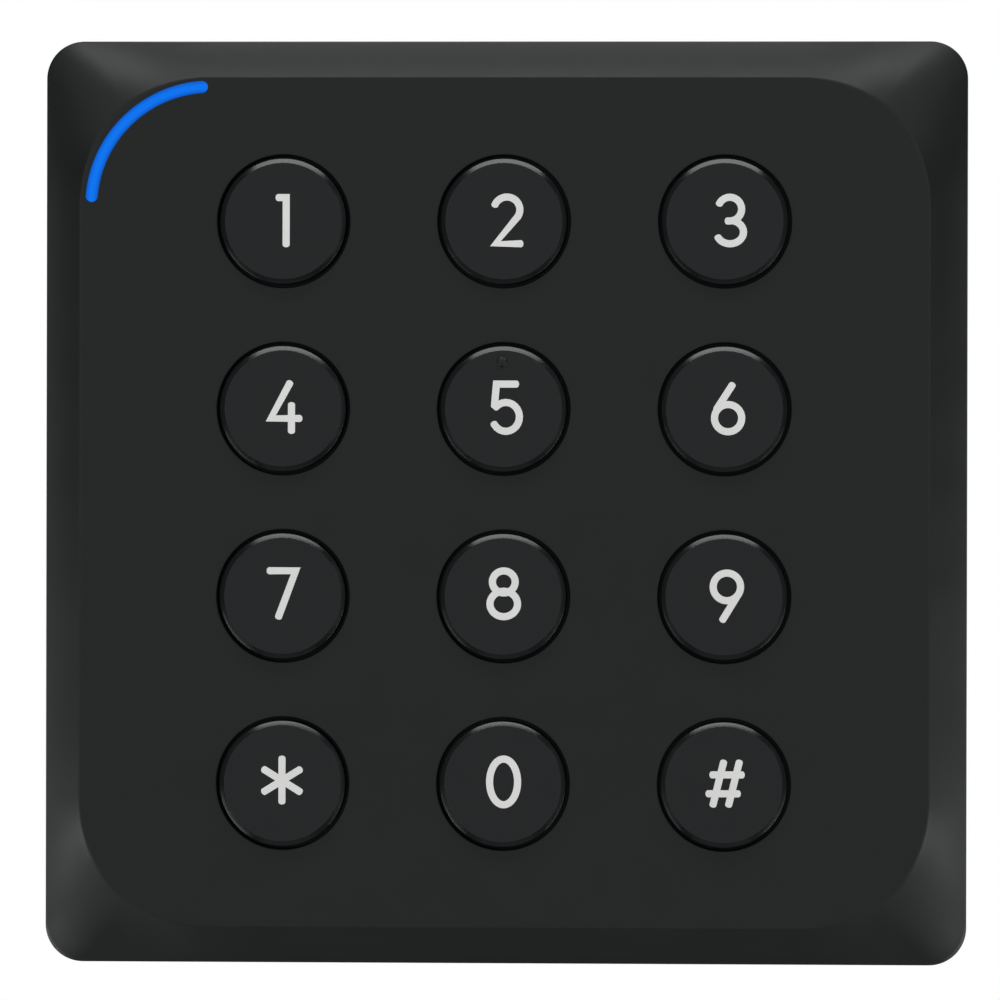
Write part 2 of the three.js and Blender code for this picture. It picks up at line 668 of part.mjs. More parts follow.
function lockNut() {
  const low = FLANGE_Y + PLATE_THICKNESS + GAP;
  return cut(
    solid(uprightBar(2.5, low, low + 1.5, 0, 0, 6)),
    uprightBar(LOCK_SCREW_R + GAP, low - PAST, low + 2 * PAST + 1, 0, 0),
  );
}

place("lock_nut", geometryOf(lockNut()), MATERIALS.zinc, 0, 0, LOCK_Z);

// ---- Wall plate --------------------------------------------------------------------------------------------------

function wallPlate() {
  const [low, high] = [-PAST, PLATE_THICKNESS + PAST];
  let body = solid(roundedBlock(PLATE_HALF, PLATE_HALF, PLATE_CORNER_R, 0, PLATE_THICKNESS));
  const window = CABLE_WINDOW;
  body = cut(
    body,
    block(-window.width / 2, window.width / 2, window.low, window.high, low, high),
    bar(PLUNGER_R + 1, low, high, TAMPER.x, TAMPER.y),
  );
  const reach = WALL_SCREW_SPACING / 2;
  for (const side of [-1, 1]) {
    body = cut(
      body,
      slot(SCREW_SLOT_WIDTH, SCREW_SLOT_LENGTH, low, high, true).translate(side * reach, 0, 0),
      slot(SCREW_SLOT_WIDTH, SCREW_SLOT_LENGTH, low, high, false).translate(0, side * reach, 0),
    );
    // A hook lanced out of the sheet, bent forward and then up, above the hole that it leaves
    const [x0, x1] = [side * HOOK_X - HOOK_WIDTH / 2, side * HOOK_X + HOOK_WIDTH / 2];
    const bend = HOOK_Y + PLATE_THICKNESS;
    body = cut(body, block(x0 - GAP, x1 + GAP, HOOK_Y - 7, HOOK_Y, low, high));
    body = body.add(joined(
      block(x0, x1, HOOK_Y, bend, PLATE_THICKNESS / 2, HOOK_REACH_Z),
      block(x0, x1, HOOK_Y, HOOK_Y + HOOK_RISE, HOOK_REACH_Z - PLATE_THICKNESS, HOOK_REACH_Z),
    ));
  }
  // The flange at the foot, which the lock screw goes up through
  const flangeTop = FLANGE_Y + PLATE_THICKNESS;
  const wing = FLANGE_WIDTH / 2;
  body = body.add(joined(
    block(-wing, wing, FLANGE_Y, -PLATE_HALF + PAST, 0, PLATE_THICKNESS),
    block(-wing, wing, FLANGE_Y, flangeTop, 0, FLANGE_REACH_Z),
  ));
  return cut(body, uprightBar(LOCK_SCREW_R + GAP, FLANGE_Y - PAST, flangeTop + PAST, 0, LOCK_Z));
}

place("wall_plate", geometryOf(wallPlate()), MATERIALS.zinc);

export default reader;
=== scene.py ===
# The looks of a keypad access reader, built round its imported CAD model.
#
# Shapes are worked out in the face frame, in millimetres: x to the right, y up the wall, z out of the
# wall towards the user, with the wall at z = 0. Row coordinates are x, -z, y, in metres.
import math
from collections import namedtuple

import bmesh
import bpy
from mathutils import Matrix, Vector


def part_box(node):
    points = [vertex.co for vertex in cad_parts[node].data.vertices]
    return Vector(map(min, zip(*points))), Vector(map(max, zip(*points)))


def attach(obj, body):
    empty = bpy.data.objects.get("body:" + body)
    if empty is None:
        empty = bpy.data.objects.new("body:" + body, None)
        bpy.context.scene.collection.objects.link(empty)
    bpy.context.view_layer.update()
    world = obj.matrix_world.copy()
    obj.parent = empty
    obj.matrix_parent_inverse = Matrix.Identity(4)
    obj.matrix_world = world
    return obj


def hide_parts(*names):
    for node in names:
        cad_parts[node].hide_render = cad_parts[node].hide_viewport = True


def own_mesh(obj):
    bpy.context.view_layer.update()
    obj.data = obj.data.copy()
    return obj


MM = 0.001
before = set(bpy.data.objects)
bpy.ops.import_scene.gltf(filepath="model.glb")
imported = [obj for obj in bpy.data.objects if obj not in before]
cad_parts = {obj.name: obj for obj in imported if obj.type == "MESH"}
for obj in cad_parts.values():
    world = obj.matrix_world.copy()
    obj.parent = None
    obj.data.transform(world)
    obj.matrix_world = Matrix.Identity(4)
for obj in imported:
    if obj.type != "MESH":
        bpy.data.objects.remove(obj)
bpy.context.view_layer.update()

HOUSING = "housing"
LEGENDS = ("1", "2", "3", "4", "5", "6", "7", "8", "9", "star", "0", "hash")

# How finely curves are drawn
CORNER_STEPS = 24
FILLET_STEPS = 6
ROUND = 96
SMALL_ROUND = 48
# A narrow flat band beside each rounded edge keeps the flat face beyond it shaded flat.
BAND = 0.12


# ---- Places, from the frame ------------------------------------------------------

def to_row(x, y, z):
    return Vector((x, -z, y)) * MM


def node_box(node):
    """A node's lowest and highest corners in the face frame."""
    low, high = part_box(node)
    return Vector((low[0], low[2], -high[1])) / MM, Vector((high[0], high[2], -low[1])) / MM


def node_centre(node):
    low, high = node_box(node)
    return (low + high) / 2


Place = namedtuple("Place", "low high x y z half_x half_y")


def place_of(node):
    """A node's box, with its middle and its half sizes."""
    low, high = node_box(node)
    middle = [(low[axis] + high[axis]) / 2 for axis in range(3)]
    return Place(low, high, *middle, (high.x - low.x) / 2, (high.y - low.y) / 2)


COVER_LOW, COVER_HIGH = node_box("front_cover")
COVER_HALF = COVER_HIGH.x
FACE_Z = COVER_HIGH.z
REAR_EDGE_Z = COVER_LOW.z
KEY_CENTRES = {name: node_centre(f"key_cap_{name}") for name in LEGENDS}
KEY_TOP_Z = node_box("key_cap_1")[1].z
COVER_SCREWS = [node_centre(f"cover_screw_{index}") for index in range(1, 5)]
BOARD_SCREWS = [node_centre(f"board_screw_{index}") for index in (1, 2)]
BOARD_REAR_Z, BOARD_FRONT_Z = (corner.z for corner in node_box("main_board"))
LOCK = node_centre("lock_screw")
PLUNGER = node_centre("tamper_plunger")

# The front cover's form, which the frame's boxes don't hold
WALL = 2.2
DRAFT = 1
OUTER_CORNER_R = 3.5
SHOULDER_Z = 14.2
PANEL_HALF = 39.5
PANEL_CORNER_R = 12
KEY_HOLE_R = 6.15
KEY_R = 5.82
PANEL_BACK_Z = FACE_Z - WALL
# Key flanges and the light guide's web rest this far behind the panel.
PANEL_GAP = 0.3
LIGHT_R = 11.1
LIGHT_WIDTH = 1.12
# The light's arc is nearly concentric with the panel's rounded corner.
LIGHT_OFFSET = 0.15
LIGHT_CENTRE = Vector((-(PANEL_HALF - PANEL_CORNER_R - LIGHT_OFFSET), PANEL_HALF - PANEL_CORNER_R, 0))
LIGHT_FROM = math.radians(94.2)
LIGHT_TO = math.radians(175.1)


# ---- Materials -------------------------------------------------------------------

def shader_of(material):
    return next(n for n in material.node_tree.nodes if n.type == "BSDF_PRINCIPLED")


def shader_inputs(material):
    return shader_of(material).inputs


def set_inputs(node, **values):
    """Sets a node's inputs, each named with underscores for spaces."""
    for name, value in values.items():
        node.inputs[name.replace("_", " ")].default_value = value


def new_material(name, metallic=0.0, roughness=0.5, specular=0.5, coat=0.0):
    material = bpy.data.materials.new(name)
    material.use_nodes = True
    set_inputs(shader_of(material), Metallic=metallic, Roughness=roughness, Specular_IOR_Level=specular,
               Coat_Weight=coat)
    return material


def add_node(material, kind, **settings):
    node = material.node_tree.nodes.new(kind)
    for key, value in settings.items():
        setattr(node, key, value)
    return node


def noise(material, scale, detail=2.0, stretch=None):
    """Noise in the object's own space, in marks per metre."""
    links = material.node_tree.links
    place = add_node(material, "ShaderNodeTexCoord")
    texture = add_node(material, "ShaderNodeTexNoise")
    set_inputs(texture, Scale=scale, Detail=detail)
    source = place.outputs["Object"]
    if stretch:
        mapping = add_node(material, "ShaderNodeMapping")
        mapping.inputs["Scale"].default_value = stretch
        links.new(source, mapping.inputs["Vector"])
        source = mapping.outputs["Vector"]
    links.new(source, texture.inputs["Vector"])
    return texture.outputs["Fac"]


def tint(material, factor, dark, light):
    """Base colour that wanders between two close tones."""
    ramp = add_node(material, "ShaderNodeValToRGB")
    for element, position, colour in zip(ramp.color_ramp.elements, (0.35, 0.65), (dark, light)):
        element.position = position
        element.color = (*colour, 1)
    links = material.node_tree.links
    links.new(factor, ramp.inputs["Fac"])
    links.new(ramp.outputs["Color"], shader_inputs(material)["Base Color"])


def vary_roughness(material, factor, low, high):
    spread = add_node(material, "ShaderNodeMapRange")
    set_inputs(spread, From_Min=0.3, From_Max=0.7, To_Min=low, To_Max=high)
    links = material.node_tree.links
    links.new(factor, spread.inputs["Value"])
    links.new(spread.outputs["Result"], shader_inputs(material)["Roughness"])


def bump(material, factor, depth_mm, strength=1.0):
    lift = add_node(material, "ShaderNodeBump")
    set_inputs(lift, Strength=strength, Distance=depth_mm * MM)
    links = material.node_tree.links
    links.new(factor, lift.inputs["Height"])
    links.new(lift.outputs["Normal"], shader_inputs(material)["Normal"])


def moulded_plastic(name, dark, light, rough=(0.4, 0.5), grain=4200, depth=0.004, specular=0.5):
    """Spark-textured plastic: close tones, a fine grain and a slow drift in gloss."""
    material = new_material(name, specular=specular)
    tint(material, noise(material, 260, 3), dark, light)
    vary_roughness(material, noise(material, 120, 2), *rough)
    bump(material, noise(material, grain, 3), depth)
    return material


def metal(name, dark, light, rough, stretch=None, grain=900, depth=0.003):
    material = new_material(name, metallic=1.0)
    tint(material, noise(material, grain / 3, 4, stretch), dark, light)
    vary_roughness(material, noise(material, grain / 2, 3, stretch), *rough)
    bump(material, noise(material, grain, 4, stretch), depth)
    return material


def galvanised(name):
    """Zinc-coated sheet: faint crystal patches over a fine rolled grain."""
    material = new_material(name, metallic=1.0)
    links = material.node_tree.links
    place = add_node(material, "ShaderNodeTexCoord")
    cells = add_node(material, "ShaderNodeTexVoronoi")
    cells.inputs["Scale"].default_value = 260
    links.new(place.outputs["Object"], cells.inputs["Vector"])
    split = add_node(material, "ShaderNodeSeparateColor")
    links.new(cells.outputs["Color"], split.inputs["Color"])
    tint(material, split.outputs["Red"], (0.42, 0.44, 0.46), (0.52, 0.54, 0.56))
    vary_roughness(material, split.outputs["Green"], 0.34, 0.46)
    bump(material, noise(material, 2400, 3, (1, 1, 0.15)), 0.003)
    return material


def circuit_board(name):
    """Green solder mask with a faint relief of tracks under it."""
    material = new_material(name, roughness=0.35, coat=0.4)
    links = material.node_tree.links
    place = add_node(material, "ShaderNodeTexCoord")
    tracks = add_node(material, "ShaderNodeTexBrick")
    set_inputs(tracks, Scale=420, Mortar_Size=0.03)
    turn = add_node(material, "ShaderNodeMapping")
    turn.inputs["Rotation"].default_value = (math.radians(90), 0, 0)
    links.new(place.outputs["Object"], turn.inputs["Vector"])
    links.new(turn.outputs["Vector"], tracks.inputs["Vector"])
    tint(material, tracks.outputs["Fac"], (0.012, 0.085, 0.035), (0.03, 0.15, 0.06))
    bump(material, tracks.outputs["Fac"], 0.03, 0.6)
    return material


def glowing(name, base, glow, strength, roughness=0.3):
    """A lit translucent plastic, a little brighter in some places than in others."""
    material = new_material(name, roughness=roughness)
    tint(material, noise(material, 300, 2), tuple(0.9 * c for c in base), base)
    set_inputs(shader_of(material), Emission_Color=(*glow, 1), Emission_Strength=strength)
    return material


def status_glow(name):
    """Blue light that leaves the guide strongest along its middle."""
    material = new_material(name, roughness=0.3, specular=0.2)
    links = material.node_tree.links
    place = add_node(material, "ShaderNodeTexCoord")
    split = add_node(material, "ShaderNodeSeparateXYZ")
    links.new(place.outputs["Object"], split.inputs["Vector"])
    flat = add_node(material, "ShaderNodeCombineXYZ")
    links.new(split.outputs["X"], flat.inputs["X"])
    links.new(split.outputs["Z"], flat.inputs["Z"])
    reach = add_node(material, "ShaderNodeVectorMath", operation="DISTANCE")
    reach.inputs[1].default_value = (LIGHT_CENTRE.x * MM, 0, LIGHT_CENTRE.y * MM)
    links.new(flat.outputs["Vector"], reach.inputs[0])
    off_middle = add_node(material, "ShaderNodeMath", operation="SUBTRACT")
    off_middle.inputs[1].default_value = LIGHT_R * MM
    links.new(reach.outputs["Value"], off_middle.inputs[0])
    size = add_node(material, "ShaderNodeMath", operation="ABSOLUTE")
    links.new(off_middle.outputs["Value"], size.inputs[0])
    share = add_node(material, "ShaderNodeMapRange")
    half_band = LIGHT_WIDTH / 2 * MM
    set_inputs(share, From_Min=0.3 * half_band, From_Max=half_band)
    links.new(size.outputs["Value"], share.inputs["Value"])
    glow = add_node(material, "ShaderNodeValToRGB")
    glow.color_ramp.elements[0].color = (0.0, 0.165, 0.84, 1)
    glow.color_ramp.elements[1].color = (0.0, 0.09, 0.5, 1)
    links.new(share.outputs["Result"], glow.inputs["Fac"])
    links.new(glow.outputs["Color"], shader_inputs(material)["Emission Color"])
    shader_inputs(material)["Emission Strength"].default_value = 1.0
    tint(material, noise(material, 300, 2), (0.0, 0.012, 0.06), (0.0, 0.016, 0.08))
    return material


# A dark and a light tone for each
HOUSING_TONES = (0.0116, 0.0142, 0.0139), (0.013, 0.0158, 0.0155)
REAR_TONES = (0.011, 0.0115, 0.012), (0.014, 0.0145, 0.015)
KEY_TONES = (0.0122, 0.0138, 0.0154), (0.0136, 0.0152, 0.0168)
SILICONE_TONES = (0.42, 0.44, 0.44), (0.48, 0.5, 0.5)
CARBON_TONES = (0.004, 0.004, 0.004), (0.008, 0.008, 0.008)
COPPER_TONES = (0.62, 0.25, 0.11), (0.72, 0.31, 0.15)
EPOXY_TONES = (0.009, 0.009, 0.01), (0.014, 0.014, 0.015)
CAN_TONES = (0.6, 0.61, 0.62), (0.68, 0.69, 0.7)
GOLD_TONES = (0.75, 0.52, 0.2), (0.83, 0.6, 0.26)
NYLON_TONES = (0.66, 0.62, 0.48), (0.72, 0.68, 0.55)
LENS_TONES = (0.78, 0.78, 0.6), (0.85, 0.85, 0.68)
RUBBER_TONES = (0.006, 0.006, 0.0065), (0.011, 0.011, 0.012)
ZINC_TONES = (0.5, 0.52, 0.54), (0.6, 0.62, 0.64)
BLACK_STEEL_TONES = (0.02, 0.02, 0.022), (0.035, 0.035, 0.038)

# Each look, with the CAD colour slot that goes with it
MATERIALS = {
    "housing": (moulded_plastic("housing_plastic", *HOUSING_TONES, (0.42, 0.5)), "housing_black"),
    "rear": (moulded_plastic("rear_plastic", *REAR_TONES, (0.5, 0.6), 2400, 0.01), "rear_black"),
    "keys": (moulded_plastic("key_plastic", *KEY_TONES, (0.4, 0.48), 5200, 0.003), "key_black"),
    "key_edge": (moulded_plastic("key_polished_edge", *KEY_TONES, (0.2, 0.24), 5200, 0.001), "key_black"),
    "legend": (glowing("legend_ink", (0.78, 0.79, 0.78), (1.0, 1.0, 0.98), 0.31, 0.5), "led_lens"),
    "light": (status_glow("status_light"), "status_blue"),
    "silicone": (moulded_plastic("silicone", *SILICONE_TONES, (0.5, 0.62), 1800, 0.006), "silicone_grey"),
    "carbon": (moulded_plastic("carbon_rubber", *CARBON_TONES, (0.6, 0.75)), "carbon_rubber"),
    "board": (circuit_board("circuit_board"), "board_green"),
    "copper": (metal("copper_winding", *COPPER_TONES, (0.25, 0.38), (1, 1, 1), 1500), "copper"),
    "chip": (moulded_plastic("moulded_epoxy", *EPOXY_TONES, (0.45, 0.6), 6000, 0.004), "chip_black"),
    "can": (metal("drawn_can", *CAN_TONES, (0.2, 0.32), (1, 6, 1), 1600), "can_metal"),
    "gold": (metal("plated_pin", *GOLD_TONES, (0.18, 0.28), None, 1200), "copper"),
    "nylon": (moulded_plastic("natural_nylon", *NYLON_TONES, (0.42, 0.52), 1500, 0.006), "socket_cream"),
    "lens": (moulded_plastic("clear_lens", *LENS_TONES, (0.12, 0.2), 900, 0.002), "led_lens"),
    "rubber": (moulded_plastic("foamed_rubber", *RUBBER_TONES, (0.75, 0.9), 900, 0.03), "gasket_rubber"),
    "zinc": (metal("zinc_plate", *ZINC_TONES, (0.26, 0.36), None, 1400), "zinc_steel"),
    "black_steel": (metal("blackened_steel", *BLACK_STEEL_TONES, (0.3, 0.42), None, 1400), "black_steel"),
    "sheet": (galvanised("galvanised_sheet"), "plate_steel"),
}


# ---- Mesh tools ------------------------------------------------------------------

def rounded_loop(half_wide, half_high, radius, z, x=0.0, y=0.0, steps=CORNER_STEPS):
    """A rounded rectangle's points, anticlockwise from the right."""
    points = []
    for corner in range(4):
        cx = x + (half_wide - radius) * (1 if corner in (0, 3) else -1)
        cy = y + (half_high - radius) * (1 if corner < 2 else -1)
        for step in range(steps + 1):
            angle = (corner + step / steps) * math.pi / 2
            points.append((cx + radius * math.cos(angle), cy + radius * math.sin(angle), z))
    return points


def circle_loop(radius, z, x=0.0, y=0.0, steps=ROUND):
    turn = 2 * math.pi / steps
    return [(x + radius * math.cos(i * turn), y + radius * math.sin(i * turn), z) for i in range(steps)]


def arc_loop(centre, radius, half_band, start, end, z, steps=48):
    """The outline of a band along an arc, with round ends."""
    points = []

    def sweep(cx, cy, r, a, b, count):
        for step in range(count):
            angle = a + (b - a) * step / count
            points.append((cx + r * math.cos(angle), cy + r * math.sin(angle), z))

    end_steps = steps // 3
    sweep(centre.x, centre.y, radius + half_band, start, end, steps)
    tip = (centre.x + radius * math.cos(end), centre.y + radius * math.sin(end))
    sweep(*tip, half_band, end, end + math.pi, end_steps)
    sweep(centre.x, centre.y, radius - half_band, end, start, steps)
    tip = (centre.x + radius * math.cos(start), centre.y + radius * math.sin(start))
    sweep(*tip, half_band, start + math.pi, start + 2 * math.pi, end_steps)
    return points


def quarter_turn():
    """Angles from 0 to a right angle, in a fillet's steps."""
    return [i / FILLET_STEPS * math.pi / 2 for i in range(FILLET_STEPS + 1)]


def edge_steps(radius, front_z, back_z, side, front=True, back=True):
    """How an outline grows from a front face, round its rounded edges, to the back face, as (growth, z)
    pairs. side is 1 for an outer outline, which shrinks towards the faces, and -1 for a hole's."""
    pairs = []
    quarter = quarter_turn()
    if front:
        pairs.append((-radius - BAND, front_z))
        pairs += [(-radius + radius * math.sin(t), front_z - radius + radius * math.cos(t)) for t in quarter]
    else:
        pairs.append((0, front_z))
    if back:
        pairs += [(-radius + radius * math.cos(t), back_z + radius - radius * math.sin(t)) for t in quarter]
        pairs.append((-radius - BAND, back_z))
    else:
        pairs.append((0, back_z))
    return [(side * grow, z) for grow, z in pairs]


def box_stack(half_wide, half_high, radius, edge, front_z, back_z, x=0.0, y=0.0, steps=CORNER_STEPS):
    return [
        rounded_loop(half_wide + g, half_high + g, max(radius + g, 0.02), z, x, y, steps)
        for g, z in edge_steps(edge, front_z, back_z, 1)
    ]


def hole_stack(half_wide, half_high, radius, edge, front_z, back_z, x=0.0, y=0.0, steps=8):
    return [
        rounded_loop(half_wide + g, half_high + g, radius + g, z, x, y, steps)
        for g, z in edge_steps(edge, front_z, back_z, -1)
    ]


def round_hole_stack(radius, edge, front_z, back_z, x=0.0, y=0.0, steps=ROUND, back=True):
    return [
        circle_loop(radius + g, z, x, y, steps) for g, z in edge_steps(edge, front_z, back_z, -1, back=back)
    ]


def pierced(outer, holes=()):
    """A closed solid from stacks of loops, each from the front face round to the back face. The two
    faces are filled between the outer stack's end loops and the holes' end loops."""
    mesh = bmesh.new()
    front, back = [], []
    for stack in (outer, *holes):
        rings = [[mesh.verts.new(to_row(*point)) for point in loop] for loop in stack]
        count = len(rings[0])
        for ring, following in zip(rings, rings[1:]):
            for i in range(count):
                j = (i + 1) % count
                mesh.faces.new((ring[i], ring[j], following[j], following[i]))
        front += [mesh.edges.get((rings[0][i], rings[0][(i + 1) % count])) for i in range(count)]
        back += [mesh.edges.get((rings[-1][i], rings[-1][(i + 1) % count])) for i in range(count)]
    for edges in (front, back):
        bmesh.ops.triangle_fill(mesh, use_beauty=True, use_dissolve=False, edges=edges)
    bmesh.ops.recalc_face_normals(mesh, faces=mesh.faces)
    return mesh


def turned(profile, x=0.0, y=0.0, steps=ROUND, upright=False):
    """A body turned from (radius, height) pairs that start and end on the axis, which lies along z, or
    along y if upright."""
    mesh = bmesh.new()

    def point(r, h, angle):
        if upright:
            return to_row(x + r * math.cos(angle), h, y + r * math.sin(angle))
        return to_row(x + r * math.cos(angle), y + r * math.sin(angle), h)

    rings = []
    for r, h in profile:
        if r < 1e-6:
            rings.append([mesh.verts.new(point(0, h, 0))])
        else:
            rings.append([mesh.verts.new(point(r, h, 2 * math.pi * i / steps)) for i in range(steps)])
    for a, b in zip(rings, rings[1:]):
        for i in range(steps):
            j = (i + 1) % steps
            corners = [a[i % len(a)], a[j % len(a)], b[j % len(b)], b[i % len(b)]]
            mesh.faces.new(list(dict.fromkeys(corners)))
    bmesh.ops.recalc_face_normals(mesh, faces=mesh.faces)
    return mesh


def dome(radius, rim, rise):
    """(radius, height) pairs from a dome's rim up to its middle."""
    return [(radius * math.cos(t), rim + rise * math.sin(t)) for t in quarter_turn()[:-1]] + [(0, rim + rise)]


def rod(radius, low, high, at, steps=SMALL_ROUND, upright=False):
    """A plain round bar through a point, along z, or along y if upright."""
    profile = [(0, low), (radius, low), (radius, high), (0, high)]
    return turned(profile, at.x, at.z if upright else at.y, steps, upright)


def rounded_corner(before, corner, after, radius, steps=FILLET_STEPS):
    """The points of a rounded corner in a profile: an arc that meets both legs."""
    b, c, a = Vector(before), Vector(corner), Vector(after)
    into, out = (b - c).normalized(), (a - c).normalized()
    half = into.angle(out) / 2
    reach = radius / math.tan(half)
    centre = c + (into + out).normalized() * (radius / math.sin(half))
    start, end = c + into * reach - centre, c + out * reach - centre
    sweep = start.angle(end)
    points = []
    for step in range(steps + 1):
        t = step / steps
        mix = (start * math.sin((1 - t) * sweep) + end * math.sin(t * sweep)) / math.sin(sweep)
        points.append(tuple(centre + mix))
    return points


def smooth_profile(corners):
    """A profile from (r, h) or (r, h, fillet radius) corners."""
    points = []
    for index, corner in enumerate(corners):
        if len(corner) == 3 and corner[2] > 0:
            points += rounded_corner(corners[index - 1][:2], corner[:2], corners[index + 1][:2], corner[2])
        else:
            points.append(tuple(corner[:2]))
    return points


def block(x0, x1, y0, y1, z0, z1):
    mesh = bmesh.new()
    size = Matrix.Diagonal(((x1 - x0) * MM, (z1 - z0) * MM, (y1 - y0) * MM, 1))
    place = Matrix.Translation(to_row((x0 + x1) / 2, (y0 + y1) / 2, (z0 + z1) / 2))
    bmesh.ops.create_cube(mesh, size=1, matrix=place @ size)
    return mesh


def soft_block(x0, x1, y0, y1, z0, z1, edge=0.2, corner=0.4, steps=6):
    """A block with rounded edges."""
    stack = box_stack((x1 - x0) / 2, (y1 - y0) / 2, max(corner, edge + BAND + 0.02), edge, z1, z0,
                      (x0 + x1) / 2, (y0 + y1) / 2, steps)
    return pierced(stack)


def prism(outline, z0, z1):
    """An outline in x and y, extruded from z0 to z1."""
    return pierced([[(x, y, z) for x, y in outline] for z in (z1, z0)])


def as_object(name, mesh):
    data = bpy.data.meshes.new(name)
    mesh.to_mesh(data)
    mesh.free()
    thing = bpy.data.objects.new(name, data)
    bpy.context.scene.collection.objects.link(thing)
    return thing


def combined(name, base, add=(), remove=()):
    """base joined with some meshes and cut by others, as one object."""
    thing = as_object(name, base)
    for operation, meshes in (("UNION", add), ("DIFFERENCE", remove)):
        for mesh in meshes:
            tool = as_object("tool", mesh)
            modifier = thing.modifiers.new("boolean", "BOOLEAN")
            modifier.operation = operation
            modifier.solver = "EXACT"
            modifier.object = tool
            graph = bpy.context.evaluated_depsgraph_get()
            result = bpy.data.meshes.new_from_object(thing.evaluated_get(graph))
            thing.modifiers.clear()
            old = thing.data
            thing.data = result
            bpy.data.meshes.remove(old)
            bpy.data.objects.remove(tool)
    thing.data.name = name
    return thing


def carved(base, remove):
    """A mesh with others cut out of it."""
    thing = combined("carved", base, remove=remove)
    mesh = bmesh.new()
    mesh.from_mesh(thing.data)
    bpy.data.objects.remove(thing)
    return mesh


def piece(name, base, material, replaces=(), body=HOUSING, add=(), remove=(), slot=None, sharp_angle=32):
    """A finished piece: joined and cut, shaded, in its material, and riding its body."""
    thing = combined(name, base, add, remove)
    thing.data.materials.clear()
    look, colour = MATERIALS[material]
    thing.data.materials.append(look)
    thing.data.shade_smooth()
    thing.data.set_sharp_from_angle(angle=math.radians(sharp_angle))
    thing.modifiers.new("flat_faces", "WEIGHTED_NORMAL").keep_sharp = True
    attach(thing, body)
    slot or colour
    if replaces:
        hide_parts(*replaces)
    return thing


# ---- Camera ----------------------------------------------------------------------

CAMERA_DISTANCE = 0.8
CAMERA_TURN = math.radians(2.85)
CAMERA_RISE = math.radians(0.3)
CAMERA_ROLL = math.radians(0.12)
FACE_SHARE = 0.9214
CAMERA_SHIFT = (-0.0055, 0.0025)
SENSOR = 36
CLIP_START = 0.01


def add_camera():
    """Almost square on to the face, from a little to its right."""
    target = to_row(0, 0, SHOULDER_Z)
    data = bpy.data.cameras.new("camera")
    data.sensor_width = SENSOR
    seen_width = 2 * COVER_HALF * MM * math.cos(CAMERA_TURN)
    data.lens = SENSOR * FACE_SHARE * CAMERA_DISTANCE / seen_width
    data.clip_start = CLIP_START
    data.shift_x, data.shift_y = CAMERA_SHIFT
    camera = bpy.data.objects.new("camera", data)
    away = Vector((math.sin(CAMERA_TURN), -math.cos(CAMERA_TURN), 0)) * math.cos(CAMERA_RISE)
    away.z = math.sin(CAMERA_RISE)
    camera.location = target + away * CAMERA_DISTANCE
    look = (target - camera.location).to_track_quat("-Z", "Y").to_matrix().to_4x4()
    camera.matrix_world = Matrix.Translation(camera.location) @ look @ Matrix.Rotation(CAMERA_ROLL, 4, "Z")
    bpy.context.scene.collection.objects.link(camera)
    bpy.context.scene.camera = camera


# ---- Front cover -----------------------------------------------------------------

PANEL_FILLET = 0.4
SHOULDER_FILLET = 0.6
RIM_FILLET = 0.25
SLOPE_CROWN = 0.13
CROWN_STEPS = 8
INNER_HALF = COVER_HALF - WALL
# The roof inside the slope starts this far below the shoulder, and meets the panel's back this far out.
ROOF_DROP = 1.2
ROOF_SPREAD = 0.3
KEY_HOLE_EDGE = 0.15
LIGHT_GAP = 0.02
BOSS_R = 3.8
BOSS_FRONT_Z = 14.6
BOSS_EDGE = 0.2
BOARD_BOSS_R = 2.2
COVER_PILOT_R, COVER_PILOT_Z = 1.35, (9, 14)
BOARD_PILOT_R, BOARD_PILOT_Z = 1.15, (10, 14.8)
# Solids that are joined run this far into each other.
OVERLAP = 0.3
LEDGE_WIDTH = 2
LEDGE_THICKNESS = 1.5
LEDGE_OUTER_R, LEDGE_INNER_R = 3, 0.7
LOCK_PAD_HALF, LOCK_PAD_THICKNESS, LOCK_PAD_Z = 6, 1.5, (0.6, 6.6)
LOCK_HEAD_R, LOCK_SHANK_R = 3.1, 1.7
LOCK_MOUTH = 0.2
LOCK_SEAT, LOCK_DEPTH = 2.5, 5


def crowned(start, end):
    """Points between two others, bulging outward by the slope's crown."""
    a, b = Vector(start), Vector(end)
    outward = Vector((a.y - b.y, b.x - a.x)).normalized()
    points = []
    for step in range(1, CROWN_STEPS):
        t = step / CROWN_STEPS
        points.append(tuple(a.lerp(b, t) + outward * SLOPE_CROWN * 4 * t * (1 - t)))
    return points


def front_cover_profile():
    """(half width, z) pairs from the panel's flat face, down the slope and side, and round the rim."""
    rim_half = COVER_HALF - DRAFT
    face, shoulder = (PANEL_HALF, FACE_Z), (COVER_HALF, SHOULDER_Z)
    pairs = rounded_corner((0, FACE_Z), face, shoulder, PANEL_FILLET, 2 * FILLET_STEPS)
    edge = rounded_corner(face, shoulder, (rim_half, REAR_EDGE_Z), SHOULDER_FILLET, 2 * FILLET_STEPS)
    pairs += crowned(pairs[-1], edge[0])
    pairs += edge
    pairs += rounded_corner(shoulder, (rim_half, REAR_EDGE_Z), (0, REAR_EDGE_Z), RIM_FILLET)
    return pairs


# The corners' points lie on rays from the centre of the panel's rounded corner, so that the slope fans
# out evenly.
RAY_CENTRE = PANEL_HALF - PANEL_CORNER_R
RAY_STEPS = 14
BEND_STEPS = 16


